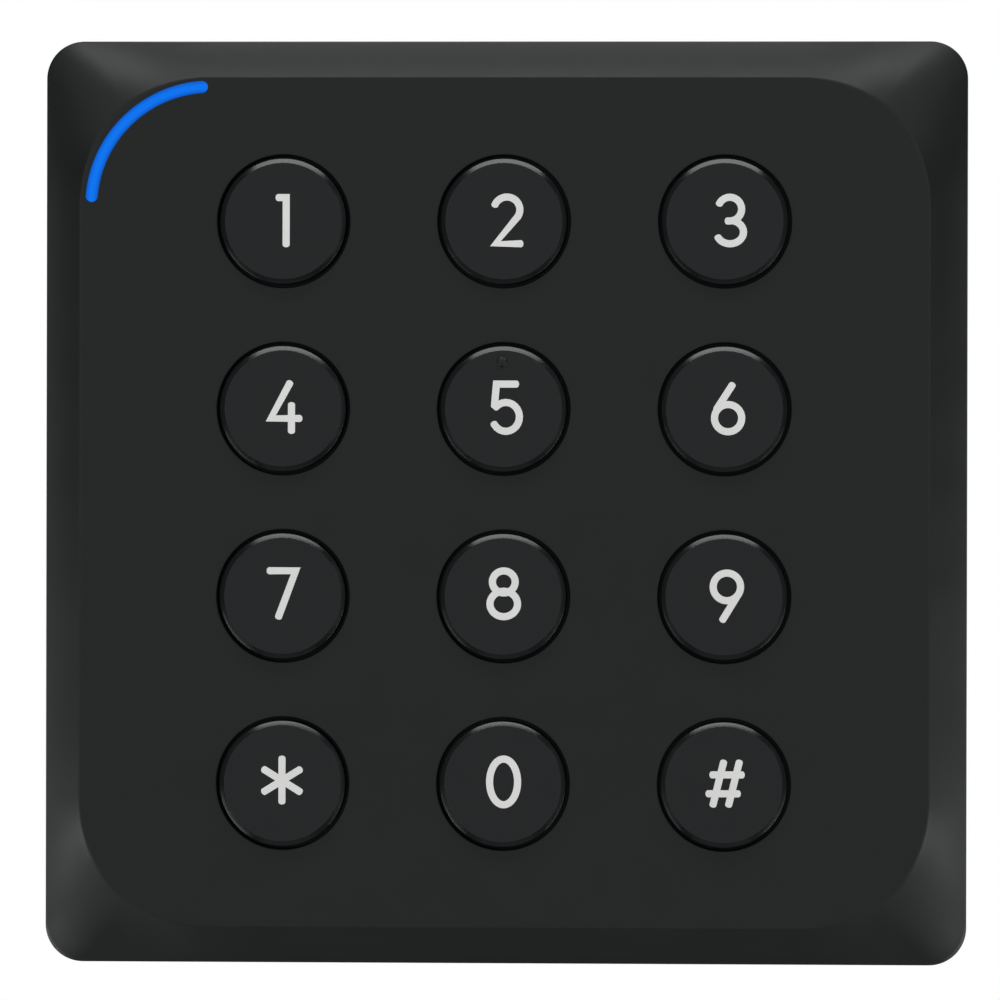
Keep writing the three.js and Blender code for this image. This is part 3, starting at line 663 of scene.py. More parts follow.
def corner_rays():
    """The rays' directions in one corner, close together where the outer corner turns."""
    reach = COVER_HALF - RAY_CENTRE
    turn = reach - OUTER_CORNER_R
    start = math.atan2(turn, reach)
    straight = [start * i / RAY_STEPS for i in range(RAY_STEPS)]
    bend = []
    for step in range(BEND_STEPS + 1):
        angle = step / BEND_STEPS * math.pi / 2
        x, y = turn + OUTER_CORNER_R * math.cos(angle), turn + OUTER_CORNER_R * math.sin(angle)
        bend.append(math.atan2(y, x))
    return straight + bend + [math.pi / 2 - angle for angle in reversed(straight)]


def ray_reach(half, radius, angle):
    """How far a ray runs before it meets a rounded square."""
    turn = half - radius - RAY_CENTRE
    along, across = math.cos(angle), math.sin(angle)
    near, far = sorted((along, across))
    if near * (half - RAY_CENTRE) <= turn * far:
        return (half - RAY_CENTRE) / far
    lean = along + across
    return turn * lean + math.sqrt(radius ** 2 - turn ** 2 * (2 - lean ** 2))


def fanned_loop(z, half, radius, inner=None, share=0.0):
    """A rounded square along the rays, moved by a share of the way to an inner (half width, radius) one."""
    points = []
    rays = corner_rays()
    for corner in range(4):
        across, up = math.cos(corner * math.pi / 2), math.sin(corner * math.pi / 2)
        for angle in rays:
            reach = ray_reach(half, radius, angle)
            if inner:
                reach += share * (ray_reach(*inner, angle) - reach)
            x = RAY_CENTRE + reach * math.cos(angle)
            y = RAY_CENTRE + reach * math.sin(angle)
            points.append((x * across - y * up, x * up + y * across, z))
    return points


def front_cover_stack():
    """The outside's loops, then those up the inside to the panel's back."""
    pairs = front_cover_profile()
    flat_half = pairs[0][0]
    flat = (flat_half, PANEL_CORNER_R + flat_half - PANEL_HALF)
    loops = []
    for half, z in pairs:
        if z > SHOULDER_Z:
            share = max((COVER_HALF - half) / (COVER_HALF - flat_half), 0)
            loops.append(fanned_loop(z, COVER_HALF, OUTER_CORNER_R, flat, share))
        else:
            loops.append(fanned_loop(z, half, OUTER_CORNER_R))
    inner_corner = OUTER_CORNER_R - WALL
    roof_half = PANEL_HALF - WALL + ROOF_SPREAD
    loops.append(fanned_loop(REAR_EDGE_Z, INNER_HALF, inner_corner))
    loops.append(fanned_loop(SHOULDER_Z - ROOF_DROP, INNER_HALF, inner_corner))
    loops.append(fanned_loop(PANEL_BACK_Z, roof_half, roof_half - RAY_CENTRE))
    return loops


def screw_bosses(ledge_z):
    """Round posts for the cover screws and the board screws."""
    profile = smooth_profile([(0, ledge_z), (BOSS_R, ledge_z, BOSS_EDGE), (BOSS_R, BOSS_FRONT_Z, BOSS_EDGE),
                              (0, BOSS_FRONT_Z)])
    bosses = [turned(profile, screw.x, screw.y, SMALL_ROUND) for screw in COVER_SCREWS]
    low, high = BOARD_FRONT_Z + 0.3, PANEL_BACK_Z + 0.5
    return bosses + [rod(BOARD_BOSS_R, low, high, screw) for screw in BOARD_SCREWS]


def gasket_ledge(ledge_z):
    """The ring inside the side wall that the gasket presses on."""
    outer, inner = INNER_HALF + OVERLAP, INNER_HALF - LEDGE_WIDTH
    heights = (ledge_z + LEDGE_THICKNESS, ledge_z)
    return pierced(
        [rounded_loop(outer, outer, LEDGE_OUTER_R, z, steps=8) for z in heights],
        [[rounded_loop(inner, inner, LEDGE_INNER_R, z, steps=8) for z in heights]],
    )


def lock_hole():
    """The counterbored hole for the lock screw, up from the bottom edge."""
    rim = -COVER_HALF
    profile = smooth_profile([
        (0, rim - 1),
        (LOCK_HEAD_R + LOCK_MOUTH, rim - 1),
        (LOCK_HEAD_R, rim + 0.1),
        (LOCK_HEAD_R, rim + LOCK_SEAT, 0.2),
        (LOCK_SHANK_R, rim + LOCK_SEAT),
        (LOCK_SHANK_R, rim + LOCK_DEPTH),
        (0, rim + LOCK_DEPTH),
    ])
    return turned(profile, LOCK.x, LOCK.z, SMALL_ROUND, upright=True)


def front_cover():
    holes = [
        round_hole_stack(KEY_HOLE_R, KEY_HOLE_EDGE, FACE_Z, PANEL_BACK_Z, c.x, c.y, back=False)
        for c in KEY_CENTRES.values()
    ]
    slot = [
        arc_loop(LIGHT_CENTRE, LIGHT_R, LIGHT_WIDTH / 2 + LIGHT_GAP, LIGHT_FROM, LIGHT_TO, z)
        for z in (FACE_Z, PANEL_BACK_Z)
    ]
    shell = pierced(front_cover_stack(), holes + [slot])
    ledge_z = node_box("cover_gasket")[1].z + 0.3
    wall = -INNER_HALF
    pad = block(-LOCK_PAD_HALF, LOCK_PAD_HALF, wall - OVERLAP, wall + LOCK_PAD_THICKNESS, *LOCK_PAD_Z)
    pilots = [rod(COVER_PILOT_R, *COVER_PILOT_Z, screw) for screw in COVER_SCREWS]
    pilots += [rod(BOARD_PILOT_R, *BOARD_PILOT_Z, screw) for screw in BOARD_SCREWS]
    piece("front_cover_shell", shell, "housing", ["front_cover"],
          add=[*screw_bosses(ledge_z), gasket_ledge(ledge_z), pad], remove=[*pilots, lock_hole()])


# ---- Status light ----------------------------------------------------------------

LIGHT_WEB_R = (3.6, 11.9)
LIGHT_WEB_TRIM = 1.2
LIGHT_WEB_THICKNESS = 1.2
LIGHT_FAN_INSET, LIGHT_FAN_HALF = 0.6, 1.2
LIGHT_STUB_R = 4.6
LIGHT_STUB_HALF = 0.7


def status_light():
    """The guide's lit arc, crowned a little at its edges, on its web and stub."""
    low, high = node_box("light_pipe")
    web_top = PANEL_BACK_Z - PANEL_GAP
    web_low = web_top - LIGHT_WEB_THICKNESS

    def band(radius, half, trim, heights):
        """A band along the arc, which stops a small angle short of the arc's ends."""
        start, end = LIGHT_FROM + trim, LIGHT_TO - trim
        return pierced([arc_loop(LIGHT_CENTRE, radius, half, start, end, z) for z in heights])

    arc = pierced([
        arc_loop(LIGHT_CENTRE, LIGHT_R, LIGHT_WIDTH / 2 + g, LIGHT_FROM, LIGHT_TO, z)
        for g, z in edge_steps(0.1, high.z, web_top - 0.2, 1, back=False)
    ])
    inner, outer = LIGHT_WEB_R
    fan = band(LIGHT_R - LIGHT_FAN_INSET, LIGHT_FAN_HALF, 0.05, (web_top - 0.1, web_low + 0.1))
    web = band((outer + inner) / 2, (outer - inner) / 2 - LIGHT_WEB_TRIM, 0.12, (web_top, web_low))
    stub = band(LIGHT_STUB_R, LIGHT_STUB_HALF, 0.15, (web_low + 0.2, low.z))
    piece("status_light_guide", arc, "light", ["light_pipe"], add=[fan, web, stub])


# ---- Keys ------------------------------------------------------------------------

KEY_BORE_R, KEY_STEM_R = 3.2, 4.9
KEY_SKIN = 1.5
FLANGE_THICKNESS = 1
KEY_CHAMFER_WIDTH = 0.44
KEY_CHAMFER_DROP = 0.3
KEY_FILLET = 0.1
# Faces near a key's top that turn away from the front by more than this cosine are its polished edge.
KEY_EDGE_FACING = 0.995
STROKE = 0.66
MITRE_LIMIT = 0.6
PEN_ROUND = 0.24
PEN_STEPS = 10


def key_cap(name):
    low, high = node_box(f"key_cap_{name}")
    centre = KEY_CENTRES[name]
    top = KEY_TOP_Z
    flange_r = (high.x - low.x) / 2
    flange_top = PANEL_BACK_Z - PANEL_GAP
    flange_low = flange_top - FLANGE_THICKNESS
    profile = smooth_profile([
        (0, low.z),
        (KEY_BORE_R, low.z, 0.2),
        (KEY_BORE_R, top - KEY_SKIN, 0.2),
        (KEY_STEM_R, top - KEY_SKIN, 0.2),
        (KEY_STEM_R, flange_low),
        (flange_r, flange_low, 0.15),
        (flange_r, flange_top, 0.15),
        (KEY_R, flange_top),
        (KEY_R, top - KEY_CHAMFER_DROP, KEY_FILLET),
        (KEY_R - KEY_CHAMFER_WIDTH, top, KEY_FILLET),
        (KEY_R - KEY_CHAMFER_WIDTH - KEY_FILLET - BAND, top),
        (0, top),
    ])
    mesh = turned(profile, centre.x, centre.y)
    thing = piece(f"key_top_{name}", mesh, "keys", [f"key_cap_{name}"], f"key_{name}")
    thing.data.materials.append(MATERIALS["key_edge"][0])
    for face in thing.data.polygons:
        lifted = -face.center.y > (top - KEY_CHAMFER_DROP - KEY_FILLET) * MM
        if lifted and face.normal.y > -KEY_EDGE_FACING:
            face.material_index = 1


def arc_points(cx, cy, rx, ry, start, end, steps=20):
    """Points on an ellipse's arc, by angles in degrees."""
    points = []
    for step in range(steps + 1):
        angle = math.radians(start + (end - start) * step / steps)
        points.append((cx + rx * math.cos(angle), cy + ry * math.sin(angle)))
    return points


# Each figure is a few pen strokes about the key's centre, in millimetres. A closed stroke ends where it
# starts.
FIGURES = {
    "1": [[(-0.8, 2.17), (0.19, 2.17), (0.19, -2.44)]],
    "2": [[*arc_points(0.2, 1.06, 1.2, 1.18, 168, -33), (-0.86, -2.09), (1.74, -2.09)]],
    "3": [
        [*arc_points(0.36, 1.13, 1.09, 1.1, 166, -90), (-0.12, 0.03)],
        arc_points(0.38, -1.0, 1.25, 1.08, 90, -166),
    ],
    "4": [[(0.68, 2.58), (-1.2, -0.92), (1.74, -0.92)], [(0.72, 0.6), (0.72, -2.36)]],
    "5": [
        [(1.36, 2.3), (-0.74, 2.3), (-0.94, 0.02)],
        [(-1.02, 0.0), *arc_points(0.14, -0.74, 1.26, 1.34, 136, -162)],
    ],
    "6": [[(0.76, 2.46), (-0.96, -0.2)], arc_points(0.24, -0.82, 1.26, 1.26, 0, 360, 40)],
    "7": [[(-1.56, 2.34), (1.14, 2.34), (-0.54, -2.18)]],
    "8": [
        arc_points(-0.02, 1.36, 1.06, 1.02, 0, 360, 40),
        arc_points(-0.02, -0.68, 1.28, 1.18, 0, 360, 40),
    ],
    "9": [arc_points(0.16, 0.96, 1.27, 1.28, 0, 360, 40), [(-0.36, -2.32), (1.3, 0.4)]],
    "star": [
        [(-0.1, 2.58), (-0.1, -1.96)],
        [(-1.98, 1.42), (1.78, -0.9)],
        [(-1.98, -0.9), (1.78, 1.42)],
    ],
    "0": [arc_points(0.0, 0.22, 1.3, 2.12, 0, 360, 48)],
    "hash": [
        [(-0.05, 2.36), (-1.14, -2.08)],
        [(1.4, 2.36), (0.31, -2.08)],
        [(-1.42, 0.95), (1.86, 0.95)],
        [(-1.78, -0.8), (1.5, -0.8)],
    ],
}


def stroke_sides(path, closed, width):
    """The two sides of a pen stroke along a path, with mitred turns."""
    count = len(path)
    left, right = [], []
    for i, here in enumerate(path):
        before = path[i - 1] if closed or i > 0 else None
        after = path[(i + 1) % count] if closed or i + 1 < count else None
        one = (here - before).normalized() if before else (after - here).normalized()
        two = (after - here).normalized() if after else one
        normal = Vector((-(one + two).y, (one + two).x)).normalized()
        reach = width / 2 / max(normal.dot(Vector((-one.y, one.x))), MITRE_LIMIT)
        left.append(here + normal * reach)
        right.append(here - normal * reach)
    return left, right


def pen_end(tip, outward, width):
    """The rounded end of a stroke, from its left side round to its right side."""
    side = Vector((-outward.y, outward.x)) * width / 2
    turns = [step / PEN_STEPS * math.pi for step in range(1, PEN_STEPS)]
    return [tip + side * math.cos(t) + outward * PEN_ROUND * math.sin(t) for t in turns]


def stroke_solid(points, width, low, high):
    path = [Vector(p) for p in points]
    if (path[0] - path[-1]).length < 1e-6:
        left, right = stroke_sides(path[:-1], True, width)
        outer, inner = sorted((left, right), key=lambda loop: -max(p.x for p in loop))
        return pierced(
            [[(p.x, p.y, z) for p in outer] for z in (high, low)],
            [[[(p.x, p.y, z) for p in inner] for z in (high, low)]],
        )
    first, last = (path[0] - path[1]).normalized(), (path[-1] - path[-2]).normalized()
    path[0] -= first * min(PEN_ROUND, 0.9 * (path[0] - path[1]).length)
    path[-1] -= last * min(PEN_ROUND, 0.9 * (path[-1] - path[-2]).length)
    left, right = stroke_sides(path, False, width)
    outline = [*left, *pen_end(path[-1], last, width), *reversed(right), *pen_end(path[0], first, width)]
    return prism(outline, low, high)


LEGEND_RAISE = 0.02
LEGEND_DEPTH = 0.15
LEGEND_SHIFT = 0.1


def key_legend(name):
    centre = KEY_CENTRES[name]
    strokes = []
    for points in FIGURES[name]:
        placed = [(centre.x + x + LEGEND_SHIFT, centre.y + y) for x, y in points]
        strokes.append(stroke_solid(placed, STROKE, KEY_TOP_Z - LEGEND_DEPTH, KEY_TOP_Z + LEGEND_RAISE))
    piece(f"legend_{name}", strokes[0], "legend", body=f"key_{name}", add=strokes[1:])


DOT_R = 0.5
DOT_DEPTH = 0.2
DOT_X, DOT_Y = -0.1, 4.35


def finger_dot():
    """The raised dot on the middle key."""
    centre = KEY_CENTRES["5"]
    high = node_box("key_cap_5")[1].z
    foot = KEY_TOP_Z - DOT_DEPTH
    profile = [(0, foot), (DOT_R, foot), *dome(DOT_R, KEY_TOP_Z, high - KEY_TOP_Z)]
    mesh = turned(profile, centre.x + DOT_X, centre.y + DOT_Y, SMALL_ROUND)
    piece("finger_dot", mesh, "keys", body="key_5", sharp_angle=60)


def contact_pill(name):
    at = place_of(f"contact_pill_{name}")
    r = at.half_x
    profile = smooth_profile([(0, at.low.z), (r, at.low.z, 0.1), (r, at.high.z, 0.1), (0, at.high.z)])
    mesh = turned(profile, at.x, at.y, SMALL_ROUND)
    piece(f"pill_{name}", mesh, "carbon", [f"contact_pill_{name}"], f"key_{name}")


# ---- Dome mat --------------------------------------------------------------------

DOME_FOOT_R = 5.2
DOME_TOP_R = 3.4
DOME_WALL = 0.9
MAT_THICKNESS = 1
BACKLIGHT_HOLE_R = 1.6
MAT_LOW, MAT_HIGH = node_box("keypad_mat")
MAT_FRONT_Z = MAT_LOW.z + MAT_THICKNESS


def mat_sheet():
    holes = [
        round_hole_stack(DOME_FOOT_R - DOME_WALL, 0.1, MAT_FRONT_Z, MAT_LOW.z, c.x, c.y, SMALL_ROUND)
        for c in KEY_CENTRES.values()
    ]
    for index in range(1, 7):
        at = node_centre(f"backlight_led_{index}")
        holes.append(round_hole_stack(BACKLIGHT_HOLE_R, 0.1, MAT_FRONT_Z, MAT_LOW.z, at.x, at.y, 24))
    outer = box_stack(MAT_HIGH.x, MAT_HIGH.y, 2, 0.2, MAT_FRONT_Z, MAT_LOW.z)
    piece("mat_sheet", pierced(outer, holes), "silicone", ["keypad_mat"])


def mat_dome(name):
    """A thin silicone dome under a key."""
    centre = KEY_CENTRES[name]
    foot, top = MAT_FRONT_Z, MAT_HIGH.z
    ceiling = node_box(f"contact_pill_{name}")[1].z + 0.3
    profile = smooth_profile([
        (0, top),
        (DOME_TOP_R, top, 0.2),
        (DOME_TOP_R, top - 0.5, 0.15),
        (DOME_FOOT_R - 0.35, foot + 0.12, 0.3),
        (DOME_FOOT_R, foot + 0.02),
        (DOME_FOOT_R - DOME_WALL, foot + 0.02),
        (DOME_TOP_R - DOME_WALL, ceiling, 0.2),
        (0, ceiling),
    ])
    thing = piece(f"dome_{name}", turned(profile, centre.x, centre.y, SMALL_ROUND), "silicone")
    thing.modifiers.clear()
    to_row(centre.x, centre.y, foot)
    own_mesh(thing)


# ---- Board -----------------------------------------------------------------------

# Parts stop this far short of the board, which they would otherwise share a face with.
SKIN = 0.02
BOARD_NOTCH_R = 4.3
BOARD_HOLE_R = 1.4


def gathered(parts):
    """Separate solids kept in one mesh."""
    whole = bmesh.new()
    for part in parts:
        data = bpy.data.meshes.new("part")
        part.to_mesh(data)
        part.free()
        whole.from_mesh(data)
        bpy.data.meshes.remove(data)
    return whole


def strip(points, thickness, wide, x=0.0, y=0.0, angle=0.0):
    """A bent strip of sheet from (outward, z) points along its middle, seen edge on. It runs outward
    from x, y."""
    left, right = stroke_sides([Vector(p) for p in points], False, thickness)
    outline = [*left, *reversed(right)]
    c, s = math.cos(angle), math.sin(angle)
    ends = []
    for across in (wide / 2, -wide / 2):
        ends.append([(x + p.x * c - across * s, y + p.x * s + across * c, p.y) for p in outline])
    return pierced(ends)


def wire(path, radius, sides=8):
    """A closed wire along a flat closed path of (x, y, z) points."""
    mesh = bmesh.new()
    count = len(path)
    rings = []
    for i, point in enumerate(path):
        before, after = Vector(path[i - 1]), Vector(path[(i + 1) % count])
        along = (after - before).normalized()
        across = Vector((along.y, -along.x, 0))
        ring = []
        for side in range(sides):
            turn = 2 * math.pi * side / sides
            place = Vector(point) + across * radius * math.cos(turn) + Vector((0, 0, radius * math.sin(turn)))
            ring.append(mesh.verts.new(to_row(*place)))
        rings.append(ring)
    for i in range(count):
        here, there = rings[i], rings[(i + 1) % count]
        for side in range(sides):
            following = (side + 1) % sides
            mesh.faces.new((here[side], here[following], there[following], there[side]))
    bmesh.ops.recalc_face_normals(mesh, faces=mesh.faces)
    return mesh


def main_board():
    low, high = node_box("main_board")
    notches = [rod(BOARD_NOTCH_R, low.z - 1, high.z + 1, screw) for screw in COVER_SCREWS]
    holes = [round_hole_stack(BOARD_HOLE_R, 0.06, high.z, low.z, s.x, s.y, 24) for s in BOARD_SCREWS]
    board = pierced(box_stack(high.x, high.y, 2, 0.1, high.z, low.z), holes)
    piece("board_panel", board, "board", ["main_board"], remove=notches)


COIL_COLUMNS = 5
COIL_LAYERS = 3
COIL_WIDTH = 2.4
COIL_CORNER_R = 9.4
TIE_TURN = math.radians(25)
TIE_OVERHANG = 0.12


def antenna_coil():
    """Enamelled wire wound in a flat bundle, held by four ties."""
    low, high = node_box("antenna_coil")
    pitch = COIL_WIDTH / COIL_COLUMNS
    rise = (high.z - low.z) / COIL_LAYERS
    turns = []
    for layer in range(COIL_LAYERS):
        z = low.z + (layer + 0.5) * rise
        for column in range(COIL_COLUMNS):
            inset = (column + 0.5) * pitch
            path = rounded_loop(high.x - inset, high.y - inset, COIL_CORNER_R - inset, z, steps=10)
            turns.append(wire(path, 0.46 * pitch))
    piece("coil_turns", gathered(turns), "copper", ["antenna_coil"], sharp_angle=60)
    ties = []
    reach = (high.x - COIL_WIDTH / 2) / math.cos(TIE_TURN)
    across = COIL_WIDTH / 2 + TIE_OVERHANG
    for side in range(4):
        angle = side * math.pi / 2 + TIE_TURN
        x, y = reach * math.cos(angle), reach * math.sin(angle)
        half_x, half_y = (across, 1) if side % 2 == 0 else (1, across)
        ties.append(soft_block(x - half_x, x + half_x, y - half_y, y + half_y, low.z - 0.1, high.z + 0.1,
                               0.25, 0.4))
    piece("coil_ties", gathered(ties), "nylon")


LEAD_THICKNESS = 0.14
LEAD_INSET = 0.5
DIMPLE_R = 0.4
DIMPLE_INSET = 0.95


def flat_chip(node, body_share, leads, lead_wide):
    """A square chip with gull-wing leads on four sides and a dimple by its first lead."""
    at = place_of(node)
    half, rear = at.half_x, at.low.z
    body = half * body_share
    deck = BOARD_REAR_Z - 0.12
    case = soft_block(at.x - body, at.x + body, at.y - body, at.y + body, rear, deck, 0.12, 0.3)
    profile = smooth_profile([(0, rear - 1), (DIMPLE_R, rear - 1), (DIMPLE_R, rear + 0.12, 0.08),
                              (0, rear + 0.12)])
    dimple = turned(profile, at.x - body + DIMPLE_INSET, at.y + body - DIMPLE_INSET, 24)
    piece(f"{node}_case", case, "chip", [node], remove=[dimple])
    middle = (rear + deck) / 2
    foot = BOARD_REAR_Z - LEAD_THICKNESS / 2
    run = [(body - 0.1, middle), (body + 0.35, middle), (body + 0.55, foot), (half, foot)]
    pitch = 2 * (body - LEAD_INSET) / (leads - 1)
    legs = []
    for side in range(4):
        angle = side * math.pi / 2
        for index in range(leads):
            along = -body + LEAD_INSET + index * pitch
            x = at.x - along * math.sin(angle)
            y = at.y + along * math.cos(angle)
            legs.append(strip(run, LEAD_THICKNESS, lead_wide, x, y, angle))
    piece(f"{node}_leads", gathered(legs), "can")


def crystal():
    at = place_of("reader_crystal")
    deck = BOARD_REAR_Z
    flange = box_stack(at.half_x, at.half_y, at.half_y - SKIN, 0.12, deck - 0.1, deck - 0.7, at.x, at.y)
    half_x, half_y = at.half_x - 0.5, at.half_y - 0.5
    can = box_stack(half_x, half_y, half_y - 0.04, 0.45, deck - 0.4, at.low.z, at.x, at.y)
    piece("crystal_can", pierced(flange), "can", ["reader_crystal"], add=[pierced(can)])


def regulator():
    low, high = node_box("voltage_regulator")
    x = (low.x + high.x) / 2
    deck = BOARD_REAR_Z
    case = soft_block(low.x, high.x, low.y + 1.2, high.y, low.z, deck - 0.1, 0.18, 0.3)
    piece("regulator_case", case, "chip", ["voltage_regulator"])
    tab = block(low.x + 0.6, high.x - 0.6, high.y - 0.6, high.y + 0.9, deck - 0.55, deck - SKIN)
    bend = [(0, deck - 1.1), (0.9, deck - 1.1), (1.3, deck - 0.25), (2.2, deck - 0.25)]
    legs = [strip(bend, 0.45, 0.75, x + side * 2.2, low.y + 1.4, -math.pi / 2) for side in (-1, 1)]
    piece("regulator_tab_and_legs", gathered([tab, *legs]), "can")


def capacitor():
    at = place_of("filter_capacitor")
    r, rear, deck = at.half_x, at.low.z, BOARD_REAR_Z
    can = turned(smooth_profile([
        (0, deck - 0.9),
        (r - 0.25, deck - 0.9),
        (r - SKIN, deck - 1.1, 0.1),
        (r - SKIN, deck - 1.7, 0.1),
        (r - 0.22, deck - 1.9, 0.1),
        (r - SKIN, deck - 2.1, 0.1),
        (r - SKIN, rear, 0.35),
        (r - 0.6, rear),
        (r - 0.7, rear + 0.08),
        (0, rear + 0.08),
    ]), at.x, at.y, 64)
    piece("capacitor_can", can, "can", ["filter_capacitor"])
    base = soft_block(at.x - r, at.x + r, at.y - r, at.y + r, deck - 1, deck - 0.05, 0.12, 0.9)
    piece("capacitor_base", base, "chip")


def buzzer():
    at = place_of("buzzer")
    r, rear, deck = at.half_x, at.low.z, BOARD_REAR_Z
    body = turned(smooth_profile([
        (0, deck - SKIN),
        (r - 0.3, deck - SKIN),
        (r - 0.3, deck - 0.5),
        (r, deck - 0.8, 0.1),
        (r, rear, 0.4),
        (1.5, rear, 0.1),
        (1.4, rear + 0.15, 0.05),
        (0.9, rear + 0.15, 0.05),
        (0.9, rear + 2),
        (0, rear + 2),
    ]), at.x, at.y, 64)
    piece("buzzer_can", body, "chip", ["buzzer"], slot="buzzer_black")


HEADER_PINS = 10
HEADER_PITCH = 2
HEADER_WALL = 0.9
HEADER_FLOOR = 1.2
KEY_SLOT_HALF = 4
PIN_HALF, PIN_TIP_HALF = 0.3, 0.1


def wiring_header():
    """The shroud that the harness plugs into from behind, and its gold pins."""
    at = place_of("wiring_header")
    low, high = at.low, at.high
    floor_z = high.z - HEADER_FLOOR
    shell = soft_block(low.x, high.x, low.y, high.y, low.z, BOARD_REAR_Z - SKIN, 0.12, 0.5)
    wall = HEADER_WALL
    well = rectangle(low.x + wall, high.x - wall, low.y + wall, high.y - wall, 0.3)
    key_slot = block(at.x - KEY_SLOT_HALF, at.x + KEY_SLOT_HALF, high.y - wall - 1, high.y + 1,
                     low.z - 1, floor_z - 1)
    piece("header_shroud", shell, "nylon", ["wiring_header"],
          remove=[blind_cutter(well, 0.15, low.z, floor_z), key_slot])
    pins = []
    sides = [(PIN_HALF, floor_z + 0.3), (PIN_HALF, low.z + 1.3), (PIN_TIP_HALF, low.z + 0.8)]
    for index in range(HEADER_PINS):
        pin_x = at.x + (index - (HEADER_PINS - 1) / 2) * HEADER_PITCH
        pins.append(pierced([rounded_loop(half, half, 0.04, z, pin_x, at.y, 2) for half, z in sides]))
    piece("header_pins", gathered(pins), "gold")


LED_HALF_X, LED_HALF_Y = 0.8, 0.45
LENS_R = 0.42
LENS_RISE = 0.3


def light_source(node):
    """A small white package with a domed yellow lens."""
    at = place_of(node)
    case = soft_block(at.x - LED_HALF_X, at.x + LED_HALF_X, at.y - LED_HALF_Y, at.y + LED_HALF_Y,
                      BOARD_FRONT_Z + SKIN, at.high.z - LENS_RISE, 0.06, 0.12)
    foot, rim = BOARD_FRONT_Z + 0.2, at.high.z - SKIN - LENS_RISE
    profile = [(0, foot), (LENS_R, foot), *dome(LENS_R, rim, LENS_RISE)]
    piece(f"{node}_lens", case, "lens", [node], add=[turned(profile, at.x, at.y, 24)])


def tamper_switch():
    at = place_of("tamper_switch")
    low, high = at.low, at.high
    case = soft_block(low.x, high.x, low.y, high.y, low.z, BOARD_REAR_Z - SKIN, 0.15, 0.4)
    bore = rod(1.4, low.z - 1, high.z - 0.6, at)
    piece("tamper_switch_case", case, "chip", ["tamper_switch"], remove=[bore])


def tamper_plunger():
    at = place_of("tamper_plunger")
    r, low, high = at.half_x, at.low.z, at.high.z
    profile = smooth_profile([(0, low), (r, low, 0.55), (r, high, 0.1), (0, high)])
    pin = turned(profile, at.x, at.y, SMALL_ROUND)
    piece("plunger_pin", pin, "nylon", ["tamper_plunger"], "tamper_plunger")


# ---- Rear cover and gasket -------------------------------------------------------

# Tools start and end this far outside the material, and a rounded rim starts just clear of the face.
PAST = 1
CLEAR = 0.004


def rim_arc(edge):
    """(growth, depth) pairs for a hole's rounded rim, from the face inwards."""
    return [(edge - edge * math.sin(t), edge - edge * math.cos(t)) for t in quarter_turn()]


def through_cutter(outline, edge, rear_z, front_z):
    """A tool for a hole with rounded rims at both faces. outline(growth, z) draws it."""
    rear, front = rear_z - CLEAR, front_z + CLEAR
    pairs = [(edge, front + PAST)]
    pairs += [(growth, front - depth) for growth, depth in rim_arc(edge)]
    pairs += [(growth, rear + depth) for growth, depth in reversed(rim_arc(edge))]
    pairs.append((edge, rear - PAST))
    return pierced([outline(growth, z) for growth, z in pairs])


def blind_cutter(outline, edge, rear_z, floor_z):
    """A tool for a pocket that is open towards the wall, with a rounded rim."""
    rear = rear_z - CLEAR
    pairs = [(0, floor_z)]
    pairs += [(growth, rear + depth) for growth, depth in reversed(rim_arc(edge))]
    pairs.append((edge, rear - PAST))
    return pierced([outline(growth, z) for growth, z in pairs])


def rectangle(x0, x1, y0, y1, radius, steps=6):
    """outline(growth, z) for a rectangle with rounded corners."""
    def outline(growth, z):
        return rounded_loop((x1 - x0) / 2 + growth, (y1 - y0) / 2 + growth, radius + growth, z,
                            (x0 + x1) / 2, (y0 + y1) / 2, steps)
    return outline


def circle(radius, x, y, steps=SMALL_ROUND):
    def outline(growth, z):
        return circle_loop(radius + growth, z, x, y, steps)
    return outline


REAR_FLOOR_Z = 1.8
REAR_FLOOR = 2
PLATE_CLEARANCE = 0.3
RIM = 1.8
WELL_HALF = 8
WELL_TOP_Y = -33.9
WELL_WALL = 1
PLATE_CORNER_R = 6.7
CABLE_WINDOW = (-14, 14, -23, -8)
PILLAR_R = 3
HEAD_POCKET_R, HEAD_POCKET_Z = 2.4, 2.5
SCREW_HOLE_R = 1.5
PLUNGER_HOLE_R = 1.7
HOOK_X = 20
HOOK_WINDOW_HALF = 4.6
HOOK_WINDOW_Y = (26.8, 31.5)


def rear_cover_room(half, floor_top, rim_top):
    """The room inside the rim, round the corner pillars and the lock screw's well."""
    inside = half - RIM
    outline = [point[:2] for point in rounded_loop(inside, inside, 1, 0, steps=6)]
    low, high = floor_top - PAST, rim_top + 2 * PAST
    keep = [block(-WELL_HALF, WELL_HALF, -half, WELL_TOP_Y, low, high)]
    keep += [rod(PILLAR_R, low, high, screw) for screw in COVER_SCREWS]
    return carved(prism(outline, floor_top, rim_top + PAST), keep)


